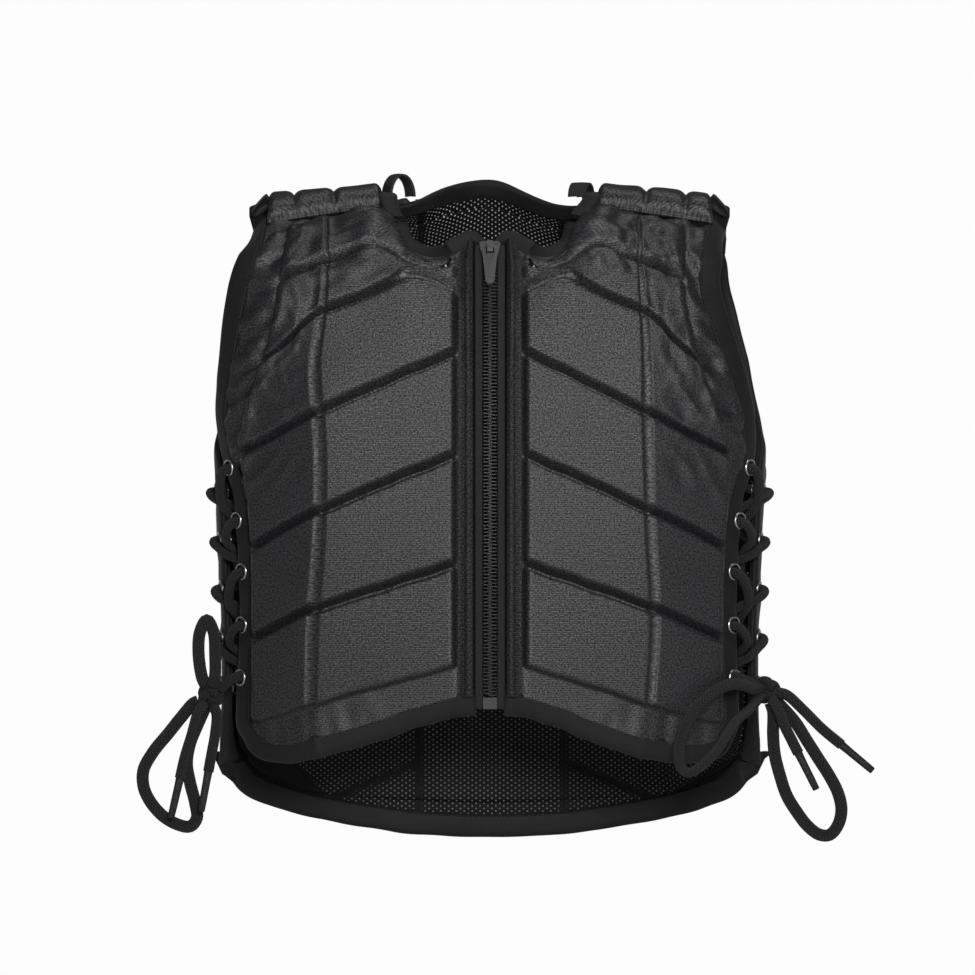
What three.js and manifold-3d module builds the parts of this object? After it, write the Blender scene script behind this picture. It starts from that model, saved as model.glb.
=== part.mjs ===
// Equestrian body protector: a padded riding vest with a front zip and laced sides.
// Millimetres, +Z up. The front faces -Y and +X is to the right when looking at the front.
// The origin lies midway between the shoulders, on top of the wearer's shoulders.
// Left and right are as seen from the front.
import * as THREE from 'three';
import { mergeVertices } from 'three/addons/utils/BufferGeometryUtils.js';
import Module from 'manifold-3d';

// Driving dimensions of the torso form, measured on the cloth level of the edges.
const RIDGE_HEIGHT = 6;
const SHOULDER_RADIUS = 60;
const SHOULDER_DROP = 7;
const HALF_WIDTH = 165;
const FRONT_DEPTH = 86;
const BACK_DEPTH = 82;
const FRONT_LENGTH = 318;
const BACK_LENGTH = 364;
const SIDE_ROUNDNESS = 2.4;

// Padding and cloth thicknesses.
const TILE_HEIGHT = 9;
const EDGE_THICKNESS = 5;
const GROOVE_WIDTH = 6;
const GROOVE_SHARE = 0.35;
const CUSHION_HEIGHT = 12;
const PAD_LIFT = 0.9;
const LINING_THICKNESS = 1.2;
const LINING_GAP = 1.6;
const GAP = 0.3;

// Bindings round the edges.
const EDGE_BINDING_WIDTH = 11;
const NECK_BINDING_WIDTH = 9;
const BINDING_THICKNESS = 5.6;

// Zip fastener.
const ZIP_EDGE = 9.3;
const ZIP_TOP = 14.8;
const TEETH_HALF_WIDTH = 4.2;
const TEETH_THICKNESS = 3;
const TAPE_THICKNESS = 1.2;
const SLIDER_WIDTH = 13;
const SLIDER_LENGTH = 12;
const SLIDER_THICKNESS = 2.4;
const BRIDGE_WIDTH = 3.6;
const PULL_LENGTH = 29;
const PULL_WIDTH = 9;
const PULL_TIP_WIDTH = 5;
const PULL_THICKNESS = 1.8;
const PIN_CLEARANCE = 0.2;
const BOTTOM_BOX_WIDTH = 8.4;
const BOTTOM_BOX_LENGTH = 7;

// Side lacing.
const EYELETS = { front: { top: 150, pitch: 32 }, back: { top: 167, pitch: 28.5 } };
const EYELET_COUNT = 5;
const EYELET_RADIUS = 5.4;
const EYELET_HEIGHT = 1;
const LACE_DIAMETER = 6;
const LACE_TIGHT_DIAMETER = 4.8;
const LACE_CLEARANCE = 1.5;
const KNOT_RADIUS = 9;
const AGLET_DIAMETER = 4;
const AGLET_LENGTH = 24;

// Small elastic loops beside the neck.
const LOOP_STRAP_WIDTH = 11;
const LOOP_STRAP_THICKNESS = 1.5;

// Torso form: how far down, as a share of BACK_LENGTH, and the section there, as shares of
// HALF_WIDTH, FRONT_DEPTH and BACK_DEPTH.
const TORSO = [
  { down: -0.05, width: 1.24, front: 0.2, back: 0.22 },
  { down: 0.03, width: 1.2, front: 0.56, back: 0.58 },
  { down: 0.08, width: 1.15, front: 0.7, back: 0.76 },
  { down: 0.137, width: 1.1, front: 0.81, back: 0.87 },
  { down: 0.25, width: 1.045, front: 0.92, back: 0.98 },
  { down: 0.385, width: 1.005, front: 0.98, back: 1.0 },
  { down: 0.55, width: 0.99, front: 1.0, back: 0.98 },
  { down: 0.69, width: 0.976, front: 0.98, back: 0.965 },
  { down: 0.82, width: 0.976, front: 0.93, back: 0.975 },
  { down: 0.93, width: 0.988, front: 0.9, back: 0.965 },
  { down: 1.06, width: 0.99, front: 0.88, back: 0.94 },
];

// Front panel, how far its lines lie from the zip at each height, as shares of HALF_WIDTH.
// crease is the groove between the two columns of tiles, end is where the outer column ends.
const FRONT_REACH = [
  { down: -0.02, creaseL: 0.585, creaseR: 0.53, endL: 0.72, endR: 0.7, edgeL: 0.81, edgeR: 0.81 },
  { down: 0.05, creaseL: 0.585, creaseR: 0.535, endL: 0.745, endR: 0.71, edgeL: 0.835, edgeR: 0.785 },
  { down: 0.12, creaseL: 0.59, creaseR: 0.54, endL: 0.76, endR: 0.7, edgeL: 0.87, edgeR: 0.775 },
  { down: 0.19, creaseL: 0.6, creaseR: 0.55, endL: 0.775, endR: 0.715, edgeL: 0.89, edgeR: 0.805 },
  { down: 0.29, creaseL: 0.62, creaseR: 0.557, endL: 0.835, endR: 0.765, edgeL: 0.922, edgeR: 0.875 },
  { down: 0.38, creaseL: 0.608, creaseR: 0.557, endL: 0.885, endR: 0.825, edgeL: 0.947, edgeR: 0.922 },
  { down: 0.44, creaseL: 0.6, creaseR: 0.56, endL: 0.895, endR: 0.862, edgeL: 0.942, edgeR: 0.94 },
  { down: 0.5, creaseL: 0.6, creaseR: 0.563, endL: 0.878, endR: 0.862, edgeL: 0.912, edgeR: 0.9 },
  { down: 0.6, creaseL: 0.603, creaseR: 0.567, endL: 0.858, endR: 0.845, edgeL: 0.882, edgeR: 0.865 },
  { down: 0.76, creaseL: 0.625, creaseR: 0.583, endL: 0.85, endR: 0.835, edgeL: 0.872, edgeR: 0.855 },
  { down: 0.88, creaseL: 0.632, creaseR: 0.57, endL: 0.85, endR: 0.832, edgeL: 0.882, edgeR: 0.86 },
  { down: 1.03, creaseL: 0.64, creaseR: 0.56, endL: 0.845, endR: 0.832, edgeL: 0.89, edgeR: 0.87 },
];

// Front panel, the heights of its cross lines, as shares of FRONT_LENGTH below the origin, where
// they meet the zip edge, the first tile column's start, four places in it, the crease, the
// middle of the outer tiles, their end, and the panel's edge.
const FRONT_LINES = [
  { name: 'top', zip: 0.044, start: 0.07, a: 0.078, b: 0.06, c: 0.0, d: -0.0165, crease: -0.0165,
    middle: -0.0165, end: -0.0165, edge: -0.0165 },
  { name: 'under', zip: 0.052, start: 0.078, a: 0.086, b: 0.07, c: 0.018, d: -0.002, crease: 0.006,
    middle: 0.013, end: 0.013, edge: 0.013 },
  { name: 'shoulder', zip: 0.09, start: 0.096, a: 0.104, b: 0.096, c: 0.08, d: 0.067, crease: 0.093,
    middle: 0.112, end: 0.128, edge: 0.14 },
  { name: 'first', zip: 0.157, start: 0.148, a: 0.12, b: 0.128, c: 0.142, d: 0.156, crease: 0.19,
    middle: 0.238, end: 0.283, edge: 0.3 },
  { name: 'second', zip: 0.262, start: 0.281, a: 0.3, b: 0.318, c: 0.334, d: 0.347, crease: 0.387,
    middle: 0.428, end: 0.468, edge: 0.478 },
  { name: 'third', zip: 0.456, start: 0.472, a: 0.49, b: 0.506, c: 0.52, d: 0.532, crease: 0.572,
    middle: 0.607, end: 0.645, edge: 0.65 },
  { name: 'fourth', zip: 0.663, start: 0.676, a: 0.691, b: 0.704, c: 0.716, d: 0.725, crease: 0.757,
    middle: 0.786, end: 0.815, edge: 0.82 },
  { name: 'fifth', zip: 0.852, start: 0.864, a: 0.877, b: 0.889, c: 0.899, d: 0.907, crease: 0.937,
    middle: 0.956, end: 0.962, edge: 0.93 },
  { name: 'hem', zip: 0.909, start: 0.913, a: 0.925, b: 0.938, c: 0.952, d: 0.962, crease: 0.99,
    middle: 1.0, end: 0.985, edge: 0.955 },
];

// Where the four places in the first tile column lie between its start and the crease.
const FIRST_COLUMN = { a: 0.17, b: 0.36, c: 0.49, d: 0.62 };

// How full the small tiles near the shoulder are, as shares of TILE_HEIGHT.
const FULLNESS = [
  { row: 1, start: 0.25, a: 0.35, b: 0.5, c: 0.6, d: 0.8, inner: 0.9, outer: 0.9, middle: 1.0, end: 0.8 },
  { row: 2, start: 0.3, a: 0.5, b: 0.75, c: 0.95, d: 1.0, inner: 1.0, outer: 0.9, middle: 1.0, end: 0.9 },
];

// Back panel, the heights of its cross lines, as shares of BACK_LENGTH.
const BACK_LINES = [
  { name: 'shoulder', crease: 0.16, second: 0.22, edge: 0.25 },
  { name: 'upper', crease: 0.345, second: 0.405, edge: 0.41 },
  { name: 'middle', crease: 0.53, second: 0.59, edge: 0.615 },
  { name: 'waist', crease: 0.715, second: 0.775, edge: 0.79 },
  { name: 'tail', crease: 0.9, second: 0.925, edge: 0.86 },
];
// Back panel, its lower edge, from the middle of the back to the side corner.
const TAIL_EDGE = [
  { round: 0, down: 1.0 },
  { round: 0.27, down: 0.995 },
  { round: 0.37, down: 0.989 },
  { round: 0.62, down: 0.97 },
  { round: 0.79, down: 0.95 },
  { round: 0.93, down: 0.924 },
  { round: 1, down: 0.896 },
];
// Back panel, its armhole edge, as shares of HALF_WIDTH from the middle.
const BACK_ARMHOLE = [
  { down: -0.02, reach: 0.8 },
  { down: 0.03, reach: 0.8 },
  { down: 0.125, reach: 0.825 },
  { down: 0.275, reach: 0.91 },
];
// Back panel, the angle of its side edge round from the middle of the back, in degrees.
const BACK_SIDE = [
  { down: 0.2, angle: 72 },
  { down: 0.275, angle: 73 },
  { down: 0.35, angle: 78 },
  { down: 0.4, angle: 88 },
  { down: 0.44, angle: 93.5 },
  { down: 0.6, angle: 94 },
  { down: 0.75, angle: 93 },
  { down: 0.79, angle: 90 },
  { down: 0.82, angle: 84 },
  { down: 0.85, angle: 78 },
  { down: 0.875, angle: 75 },
  { down: 0.896, angle: 72 },
];
// Neckline of the back, at shares of HALF_WIDTH across, left negative, and heights in shares of
// BACK_LENGTH above the origin.
const BACK_NECK = [
  { across: -0.36, up: 0.012 },
  { across: -0.27, up: 0.014 },
  { across: -0.18, up: 0.027 },
  { across: -0.1, up: 0.034 },
  { across: 0, up: 0.028 },
  { across: 0.1, up: 0.019 },
  { across: 0.2, up: 0.008 },
  { across: 0.29, up: 0.004 },
  { across: 0.36, up: 0.012 },
];
// Shoulder pads, where they start and end across, as shares of HALF_WIDTH, and how far they come
// forward and back from the ridge at the neck side and the arm side, as shares of SHOULDER_RADIUS.
const PAD = { neckSide: 0.385, armSide: 0.81, frontAtNeck: 0.27, frontAtArm: 0.47,
  backAtNeck: 0.24, backAtArm: 0.6 };
const PAD_CHANNELS = [0.42, 0.76];

const mix = (a, b, share) => a + (b - a) * share;
const clampShare = (value) => Math.min(1, Math.max(0, value));
const smooth = (low, high, value) => {
  const share = clampShare((value - low) / (high - low));
  return share * share * (3 - 2 * share);
};

// Value of a column of a table at a given place, on a smooth curve through its rows.
function readTable(table, key, column, place) {
  const last = table.length - 1;
  if (place <= table[0][key]) return table[0][column];
  if (place >= table[last][key]) return table[last][column];
  let row = 0;
  while (table[row + 1][key] < place) row += 1;
  const slopeAt = (index) => {
    const before = table[Math.max(0, index - 1)];
    const after = table[Math.min(last, index + 1)];
    return (after[column] - before[column]) / (after[key] - before[key]);
  };
  const from = table[row];
  const to = table[row + 1];
  const span = to[key] - from[key];
  const t = (place - from[key]) / span;
  const a = from[column];
  const b = to[column];
  const startSlope = slopeAt(row) * span;
  const endSlope = slopeAt(row + 1) * span;
  return a + startSlope * t + (3 * (b - a) - 2 * startSlope - endSlope) * t * t
    + (2 * (a - b) + startSlope + endSlope) * t * t * t;
}

// Torso form.
const archDepth = (height) => Math.sqrt(2 * SHOULDER_RADIUS * Math.max(0, RIDGE_HEIGHT - height));
const ARCH_END = -12;
const ARCH_BLEND_END = -36;
const COLLAR_END = -50;

function halfWidth(height) {
  return HALF_WIDTH * readTable(TORSO, 'down', 'width', -height / BACK_LENGTH);
}

function frontDepth(height) {
  const table = FRONT_DEPTH * readTable(TORSO, 'down', 'front', -height / BACK_LENGTH);
  return mix(table, archDepth(height), smooth(ARCH_BLEND_END, ARCH_END, height));
}

function backDepth(height) {
  const table = BACK_DEPTH * readTable(TORSO, 'down', 'back', -height / BACK_LENGTH);
  return mix(table, archDepth(height), smooth(ARCH_BLEND_END, ARCH_END, height));
}

// Behind the neck the back rises as a collar instead of turning over into the shoulder.
function collarDepth(x, height) {
  const collar = mix(backDepth(height), BACK_DEPTH * (0.61 - 2.2 * height / BACK_LENGTH),
    smooth(COLLAR_END, ARCH_END, height));
  return mix(collar, backDepth(height), smooth(0.08 * HALF_WIDTH, 0.4 * HALF_WIDTH, Math.abs(x)));
}

function dropAt(x, height) {
  const outwards = clampShare((Math.abs(x) / HALF_WIDTH - PAD.neckSide) / (0.9 - PAD.neckSide));
  return SHOULDER_DROP * outwards * smooth(-60, 0, height);
}

const sectionShare = (x, width) =>
  (1 - Math.min(1, Math.abs(x) / width) ** SIDE_ROUNDNESS) ** (1 / SIDE_ROUNDNESS);

const frontSkin = (x, height) => new THREE.Vector3(
  x, -frontDepth(height) * sectionShare(x, halfWidth(height)), height - dropAt(x, height));

const backMiddleSkin = (x, height) => new THREE.Vector3(
  x, collarDepth(x, height) * sectionShare(x, halfWidth(height)), height - dropAt(x, height));

// angle is measured round from the middle of the back, in degrees
function backSideSkin(angle, height) {
  const across = Math.sin(angle * Math.PI / 180);
  const along = Math.cos(angle * Math.PI / 180);
  const depth = along >= 0 ? Math.max(1, backDepth(height)) : frontDepth(height);
  const reach = ((Math.abs(across) / halfWidth(height)) ** SIDE_ROUNDNESS
    + (Math.abs(along) / depth) ** SIDE_ROUNDNESS) ** (-1 / SIDE_ROUNDNESS);
  const x = reach * across;
  return new THREE.Vector3(x, reach * along, height - dropAt(x, height));
}

// The strap over the shoulder: depth runs from front, negative, over the ridge to the back.
function strapSkin(x, depth) {
  const height = RIDGE_HEIGHT - depth * depth / (2 * SHOULDER_RADIUS);
  return new THREE.Vector3(x, depth * sectionShare(x, halfWidth(height)), height - dropAt(x, height));
}

// Point of a skin, moved out of the garment by lift.
function lifted(skin, u, v, lift, stepU, stepV, outwards) {
  const alongU = skin(u + stepU, v).sub(skin(u - stepU, v));
  const alongV = skin(u, v + stepV).sub(skin(u, v - stepV));
  const normal = alongU.cross(alongV).normalize().multiplyScalar(outwards);
  return skin(u, v).addScaledVector(normal, lift);
}
const frontPoint = (x, height, lift) => lifted(frontSkin, x, height, lift, 0.5, 0.5, 1);
const backMiddlePoint = (x, height, lift) => lifted(backMiddleSkin, x, height, lift, 0.5, 0.5, -1);
const backSidePoint = (angle, height, lift) => lifted(backSideSkin, angle, height, lift, 0.3, 0.5, -1);
const strapPoint = (x, depth, lift) => lifted(strapSkin, x, depth, lift, 0.5, 0.5, 1);

// Angle on the back at which a line lies at distance x from the middle.
function backAngle(x, height) {
  let low = 0;
  let high = 90;
  for (let pass = 0; pass < 30; pass += 1) {
    const middle = (low + high) / 2;
    if (backSideSkin(middle, height).x < Math.abs(x)) low = middle;
    else high = middle;
  }
  return low * Math.sign(x);
}

// Meshes.
const group = new THREE.Group();

function solidGeometry(positions, faces) {
  const geometry = new THREE.BufferGeometry();
  geometry.setAttribute('position', new THREE.Float32BufferAttribute(positions, 3));
  geometry.setIndex(faces);
  let volume = 0;
  const corner = (index) => new THREE.Vector3().fromArray(positions, index * 3);
  for (let face = 0; face < faces.length; face += 3) {
    volume += corner(faces[face]).dot(corner(faces[face + 1]).cross(corner(faces[face + 2])));
  }
  if (volume < 0) {
    for (let face = 0; face < faces.length; face += 3) {
      [faces[face], faces[face + 1]] = [faces[face + 1], faces[face]];
    }
    geometry.setIndex(faces);
  }
  geometry.computeVertexNormals();
  return geometry;
}

function addMesh(name, geometry, material, parent = group) {
  const mesh = new THREE.Mesh(geometry, material);
  mesh.name = name;
  parent.add(mesh);
  return mesh;
}

// A padded sheet: a grid of places, each with its outer and its inner point, closed round its edge.
function sheetGeometry(grid, isRoundStrip = false) {
  const rows = grid.length;
  const columns = grid[0].length;
  const positions = [];
  const faces = [];
  const at = (row, column, side) => (row * columns + column) * 2 + side;
  for (const row of grid) {
    for (const place of row) positions.push(...place.outer.toArray(), ...place.inner.toArray());
  }
  const quad = (a, b, c, d) => faces.push(a, b, c, a, c, d);
  for (let row = 0; row < rows - 1; row += 1) {
    for (let column = 0; column < columns - 1; column += 1) {
      quad(at(row, column, 0), at(row + 1, column, 0), at(row + 1, column + 1, 0), at(row, column + 1, 0));
      quad(at(row, column, 1), at(row, column + 1, 1), at(row + 1, column + 1, 1), at(row + 1, column, 1));
    }
    const end = columns - 1;
    quad(at(row, 0, 0), at(row, 0, 1), at(row + 1, 0, 1), at(row + 1, 0, 0));
    if (isRoundStrip) quad(at(row + 1, end, 0), at(row + 1, end, 1), at(row, end, 1), at(row, end, 0));
    else quad(at(row, end, 0), at(row + 1, end, 0), at(row + 1, end, 1), at(row, end, 1));
  }
  for (let column = 0; column < columns - 1; column += 1) {
    const end = rows - 1;
    quad(at(0, column, 0), at(0, column + 1, 0), at(0, column + 1, 1), at(0, column, 1));
    quad(at(end, column, 0), at(end, column, 1), at(end, column + 1, 1), at(end, column + 1, 0));
  }
  return solidGeometry(positions, faces);
}

// A closed strip through rings of points, all with as many corners.
function ringsGeometry(rings) {
  const positions = rings.flatMap((ring) => ring.flatMap((point) => point.toArray()));
  const faces = [];
  const count = rings[0].length;
  for (let step = 0; step < rings.length - 1; step += 1) {
    for (let side = 0; side < count; side += 1) {
      const next = (side + 1) % count;
      const here = step * count;
      const ahead = here + count;
      faces.push(here + side, here + next, ahead + next, here + side, ahead + next, ahead + side);
    }
  }
  const end = (rings.length - 1) * count;
  for (let side = 1; side < count - 1; side += 1) {
    faces.push(0, side + 1, side, end, end + side, end + side + 1);
  }
  return solidGeometry(positions, faces);
}

// Frames along the edge of a padded sheet: places and their neighbours further in.
function edgeFrames(places, neighbours) {
  const middles = places.map((place) => place.outer.clone().add(place.inner).multiplyScalar(0.5));
  return places.map((place, index) => {
    const before = middles[Math.max(0, index - 1)];
    const after = middles[Math.min(middles.length - 1, index + 1)];
    const tangent = after.clone().sub(before).normalize();
    const normal = place.outer.clone().sub(place.inner).normalize();
    const out = tangent.clone().cross(normal).normalize();
    const inwards = neighbours[index].outer.clone().add(neighbours[index].inner).multiplyScalar(0.5);
    if (out.dot(middles[index].clone().sub(inwards)) < 0) out.negate();
    normal.copy(tangent.cross(out).normalize());
    if (normal.dot(place.outer.clone().sub(place.inner)) < 0) normal.negate();
    return { point: middles[index], out, normal, outer: place.outer, inner: place.inner };
  });
}

// A binding folded round the edge: it starts at the edge's own two sides and narrows outwards.
function bindingGeometry(frames, width) {
  const proud = (BINDING_THICKNESS - EDGE_THICKNESS) / 2;
  return ringsGeometry(frames.map((frame) => {
    const shifted = (from, out, lift) => from.clone().addScaledVector(frame.out, out)
      .addScaledVector(frame.normal, lift);
    const half = BINDING_THICKNESS * 0.3;
    return [
      shifted(frame.outer, GAP * 1.5, proud),
      shifted(frame.inner, GAP * 1.5, -proud),
      shifted(frame.point, GAP + width, -half),
      shifted(frame.point, GAP + width, half),
    ];
  }));
}

// Materials.
const cloth = (color, roughness) => new THREE.MeshStandardMaterial({ color, roughness, metalness: 0 });
const tileCloth = cloth(0x3f3d42, 0.85);
const bindingCloth = cloth(0x29292b, 0.75);
const meshCloth = cloth(0x1a1a1b, 0.9);
const laceCord = cloth(0x1c1c1e, 0.8);
const zipCloth = cloth(0x222224, 0.85);
const zipMetal = new THREE.MeshStandardMaterial({ color: 0x3c3c3e, roughness: 0.35, metalness: 0.8 });
const eyeletMetal = new THREE.MeshStandardMaterial({ color: 0xc9c9cc, roughness: 0.25, metalness: 1 });
const agletPlastic = cloth(0x18181a, 0.4);

// Front panels.
const tileColumns = ['start', 'a', 'b', 'c', 'd', 'inner', 'crease', 'outer', 'middle', 'end'];
const FRONT_COLUMNS = ['zip', 'flange', ...tileColumns, 'foot', 'edge'];

function frontReach(column, down, side) {
  const key = side < 0 ? 'L' : 'R';
  const share = (name) => HALF_WIDTH * readTable(FRONT_REACH, 'down', name + key, down);
  const start = ZIP_EDGE + 13.7;
  const crease = share('crease');
  const end = share('end');
  const edge = share('edge');
  if (column === 'zip') return ZIP_EDGE;
  if (column === 'flange') return start - 3.5;
  if (column === 'start') return start;
  if (column in FIRST_COLUMN) return mix(start, crease, FIRST_COLUMN[column]);
  if (column === 'inner') return crease - GROOVE_WIDTH / 2;
  if (column === 'crease') return crease;
  if (column === 'outer') return crease + GROOVE_WIDTH / 2;
  if (column === 'middle') return mix(crease, end, 0.5);
  if (column === 'end') return end;
  if (column === 'foot') return mix(end, edge, Math.min(0.5, 3 / (edge - end)));
  return edge;
}

function frontLineDown(line, column) {
  if (column === 'flange') return mix(line.zip, line.start, 0.75);
  if (column === 'inner') return mix(line.d, line.crease, 0.9);
  if (column === 'outer') return mix(line.crease, line.middle, 0.12);
  if (column === 'foot') return mix(line.end, line.edge, 0.5);
  return line[column];
}

// The cross lines of the front panel in order from the top: which line of the table, how far it
// is moved down from it, as a share of the groove or of the way to the next line, and its fill.
function frontRows() {
  const rows = [
    { line: 0, shift: 0, fill: 0 },
    { line: 1, shift: 0, fill: 0.03 },
    { line: 1, towards: 0.5, fill: 1, puff: 1 },
    { line: 2, shift: -0.5, fill: 1, puff: 1 },
    { line: 2, shift: 0, fill: GROOVE_SHARE, puff: 2 },
    { line: 2, shift: 0.5, fill: 1, puff: 2 },
  ];
  for (let line = 3; line < FRONT_LINES.length - 1; line += 1) {
    const puff = line === 3 ? 2 : 0;
    const last = line === FRONT_LINES.length - 2;
    rows.push({ line, shift: -0.5, fill: 1, puff });
    rows.push({ line, shift: 0, fill: last ? 0.1 : GROOVE_SHARE });
    if (!last) {
      rows.push({ line, shift: 0.5, fill: 1 });
      if (line === 3) rows.push({ line, towards: 0.5, fill: 1 });
    }
  }
  rows.push({ line: FRONT_LINES.length - 1, shift: 0, fill: 0 });
  return rows;
}

function columnFill(column, row) {
  if (['zip', 'edge'].includes(column)) return 0;
  if (column === 'flange') return 0.08;
  if (column === 'foot') return 0.12;
  const puff = FULLNESS.find((entry) => entry.row === row.puff);
  const crease = column === 'crease' ? GROOVE_SHARE : 1;
  return crease * (puff && puff[column] !== undefined ? puff[column] : 1);
}

function frontGrid(side) {
  return frontRows().map((row) => FRONT_COLUMNS.map((column) => {
    const line = FRONT_LINES[row.line];
    let down = frontLineDown(line, column);
    if (row.towards) down = mix(down, frontLineDown(FRONT_LINES[row.line + 1], column), row.towards);
    const height = -down * FRONT_LENGTH - (row.shift || 0) * GROOVE_WIDTH;
    const x = side * frontReach(column, -height / FRONT_LENGTH, side);
    const lift = TILE_HEIGHT * row.fill * columnFill(column, row);
    return { outer: frontPoint(x, height, lift), inner: frontPoint(x, height, -EDGE_THICKNESS) };
  }));
}

// Back panel: columns by distance from the middle, then by shares of the way to the side edge.
const BACK_CREASES = { first: 0.27, second: 0.627 };
const BACK_COLUMNS = [
  { at: 0, fill: 1 },
  { crease: 'first', shift: -0.5, fill: 1 },
  { crease: 'first', shift: 0, fill: GROOVE_SHARE },
  { crease: 'first', shift: 0.5, fill: 1 },
  { at: 0.37, fill: 1 },
  { crease: 'second', shift: -0.5, fill: 1 },
  { crease: 'second', shift: 0, fill: GROOVE_SHARE },
  { crease: 'second', shift: 0.5, fill: 1 },
  { round: 0.42, fill: 1 },
  { round: 0.8, fill: 1 },
  { round: 0.9, fill: 0.1 },
  { round: 1, fill: 0 },
];

function padDepth(x, ends) {
  const share = (Math.abs(x) / HALF_WIDTH - PAD.neckSide) / (PAD.armSide - PAD.neckSide);
  return SHOULDER_RADIUS * mix(PAD[`${ends}AtNeck`], PAD[`${ends}AtArm`], clampShare(share));
}

function backTop(x) {
  const across = x / HALF_WIDTH;
  if (Math.abs(across) < PAD.neckSide - 0.04) {
    return BACK_LENGTH * readTable(BACK_NECK, 'across', 'up', across);
  }
  return RIDGE_HEIGHT - (padDepth(x, 'back') + 2 * GAP) ** 2 / (2 * SHOULDER_RADIUS);
}

// Distance of a column from the middle, where it has one, or else of its upper end.
function backColumnReach(column) {
  if (column.at !== undefined) return HALF_WIDTH * column.at;
  if (column.crease) return HALF_WIDTH * BACK_CREASES[column.crease] + column.shift * GROOVE_WIDTH;
  const from = HALF_WIDTH * BACK_CREASES.second + GROOVE_WIDTH / 2;
  return mix(from, HALF_WIDTH * PAD.armSide, column.round);
}

function backEdgeAngle(height) {
  const down = -height / BACK_LENGTH;
  const side = readTable(BACK_SIDE, 'down', 'angle', down);
  const armhole = backAngle(HALF_WIDTH * readTable(BACK_ARMHOLE, 'down', 'reach', down), height);
  return mix(armhole, side, smooth(0.21, 0.29, down));
}

function backSideAngle(column, height) {
  const from = backAngle(HALF_WIDTH * BACK_CREASES.second + GROOVE_WIDTH / 2, height);
  return mix(from, backEdgeAngle(height), column.round);
}

function backLineDown(line, column) {
  const seams = BACK_CREASES;
  if (column.at !== undefined) {
    return mix(line.crease, line.second, clampShare((column.at - seams.first) / (seams.second - seams.first)));
  }
  if (column.crease === 'first') return line.crease;
  if (column.crease === 'second') return mix(line.crease, line.second, 1 + column.shift * 0.1);
  return mix(line.second, line.edge, column.round);
}

function backRows() {
  const rows = [{ top: true, fill: 0 }, { top: true, below: 0.1, fill: 0.1 },
    { top: true, below: 0.3, fill: 1 }];
  BACK_LINES.forEach((line, index) => {
    rows.push({ line: index, shift: -0.5, fill: 1 });
    rows.push({ line: index, shift: 0, fill: GROOVE_SHARE });
    rows.push({ line: index, shift: 0.5, fill: 1 });
    if (index < 2) rows.push({ line: index, towards: 0.5, fill: 1 });
  });
  rows.push({ bottom: true, above: 0.5, fill: 0.9 });
  rows.push({ bottom: true, above: 0.28, fill: 0.1 });
  rows.push({ bottom: true, above: 0, fill: 0 });
  return rows;
}

function backPlaceHeight(row, column, index, reach) {
  if (row.top && !row.below) return backTop(reach);
  const first = -BACK_LENGTH * backLineDown(BACK_LINES[0], column);
  const last = -BACK_LENGTH * backLineDown(BACK_LINES.at(-1), column);
  if (row.top) return mix(backTop(reach), first, row.below);
  if (row.bottom) {
    const across = Math.abs(reach) / HALF_WIDTH;
    const seam = BACK_CREASES.second + GROOVE_WIDTH / 2 / HALF_WIDTH;
    const round = column.round === undefined ? across : mix(seam, 1, column.round);
    return mix(-BACK_LENGTH * readTable(TAIL_EDGE, 'round', 'down', round), last, row.above);
  }
  let down = backLineDown(BACK_LINES[row.line], column);
  if (row.towards) down = mix(down, backLineDown(BACK_LINES[row.line + 1], column), row.towards);
  return -down * BACK_LENGTH - (row.shift || 0) * GROOVE_WIDTH;
}

function backPlace(row, column, index, side) {
  const reach = side * backColumnReach(column);
  const height = backPlaceHeight(row, column, index, reach);
  const fill = row.fill * column.fill;
  if (column.round === undefined) return { x: reach, height, fill };
  const isTop = row.top && !row.below;
  return { angle: isTop ? backAngle(reach, height) : side * backSideAngle(column, height), height, fill };
}

function backPlaces() {
  const sided = [
    ...BACK_COLUMNS.map((column, index) => ({ column, index, side: -1 })).reverse(),
    ...BACK_COLUMNS.map((column, index) => ({ column, index, side: 1 })).slice(1),
  ];
  return backRows().map((row) => sided.map((entry) => backPlace(row, entry.column, entry.index, entry.side)));
}

const backPoint = (place, lift) => (place.angle === undefined
  ? backMiddlePoint(place.x, place.height, lift) : backSidePoint(place.angle, place.height, lift));
const backSurface = (place, low, high) => ({ outer: backPoint(place, high), inner: backPoint(place, low) });

// Shoulder pads.
const PAD_STEPS = 6;
function padGrid(side) {
  const first = PAD_CHANNELS[0];
  const second = PAD_CHANNELS[1];
  const across = [
    { share: 0, fill: 0.25 }, { share: first * 0.25, fill: 0.9 }, { share: first * 0.75, fill: 1 },
    { share: first, fill: 0.5 }, { share: mix(first, second, 0.25), fill: 1 },
    { share: mix(first, second, 0.75), fill: 1 }, { share: second, fill: 0.5 },
    { share: mix(second, 1, 0.5), fill: 0.85 }, { share: 1, fill: 0.25 },
  ];
  const rows = [];
  for (let step = 0; step <= PAD_STEPS; step += 1) {
    const share = step / PAD_STEPS;
    const endFill = Math.sin(Math.PI * mix(0.1, 0.9, share)) ** 0.5;
    rows.push(across.map((column) => {
      const x = side * HALF_WIDTH * mix(PAD.neckSide, PAD.armSide, column.share);
      const depth = mix(padDepth(x, 'back'), -padDepth(x, 'front'), share);
      const underside = mix(-EDGE_THICKNESS, PAD_LIFT, smooth(4, -4, depth));
      const cushion = CUSHION_HEIGHT * column.fill * mix(0.35, 1, endFill);
      const top = Math.max(cushion, underside + EDGE_THICKNESS);
      return { outer: strapPoint(x, depth, top), inner: strapPoint(x, depth, underside) };
    }));
  }
  return rows;
}

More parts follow.
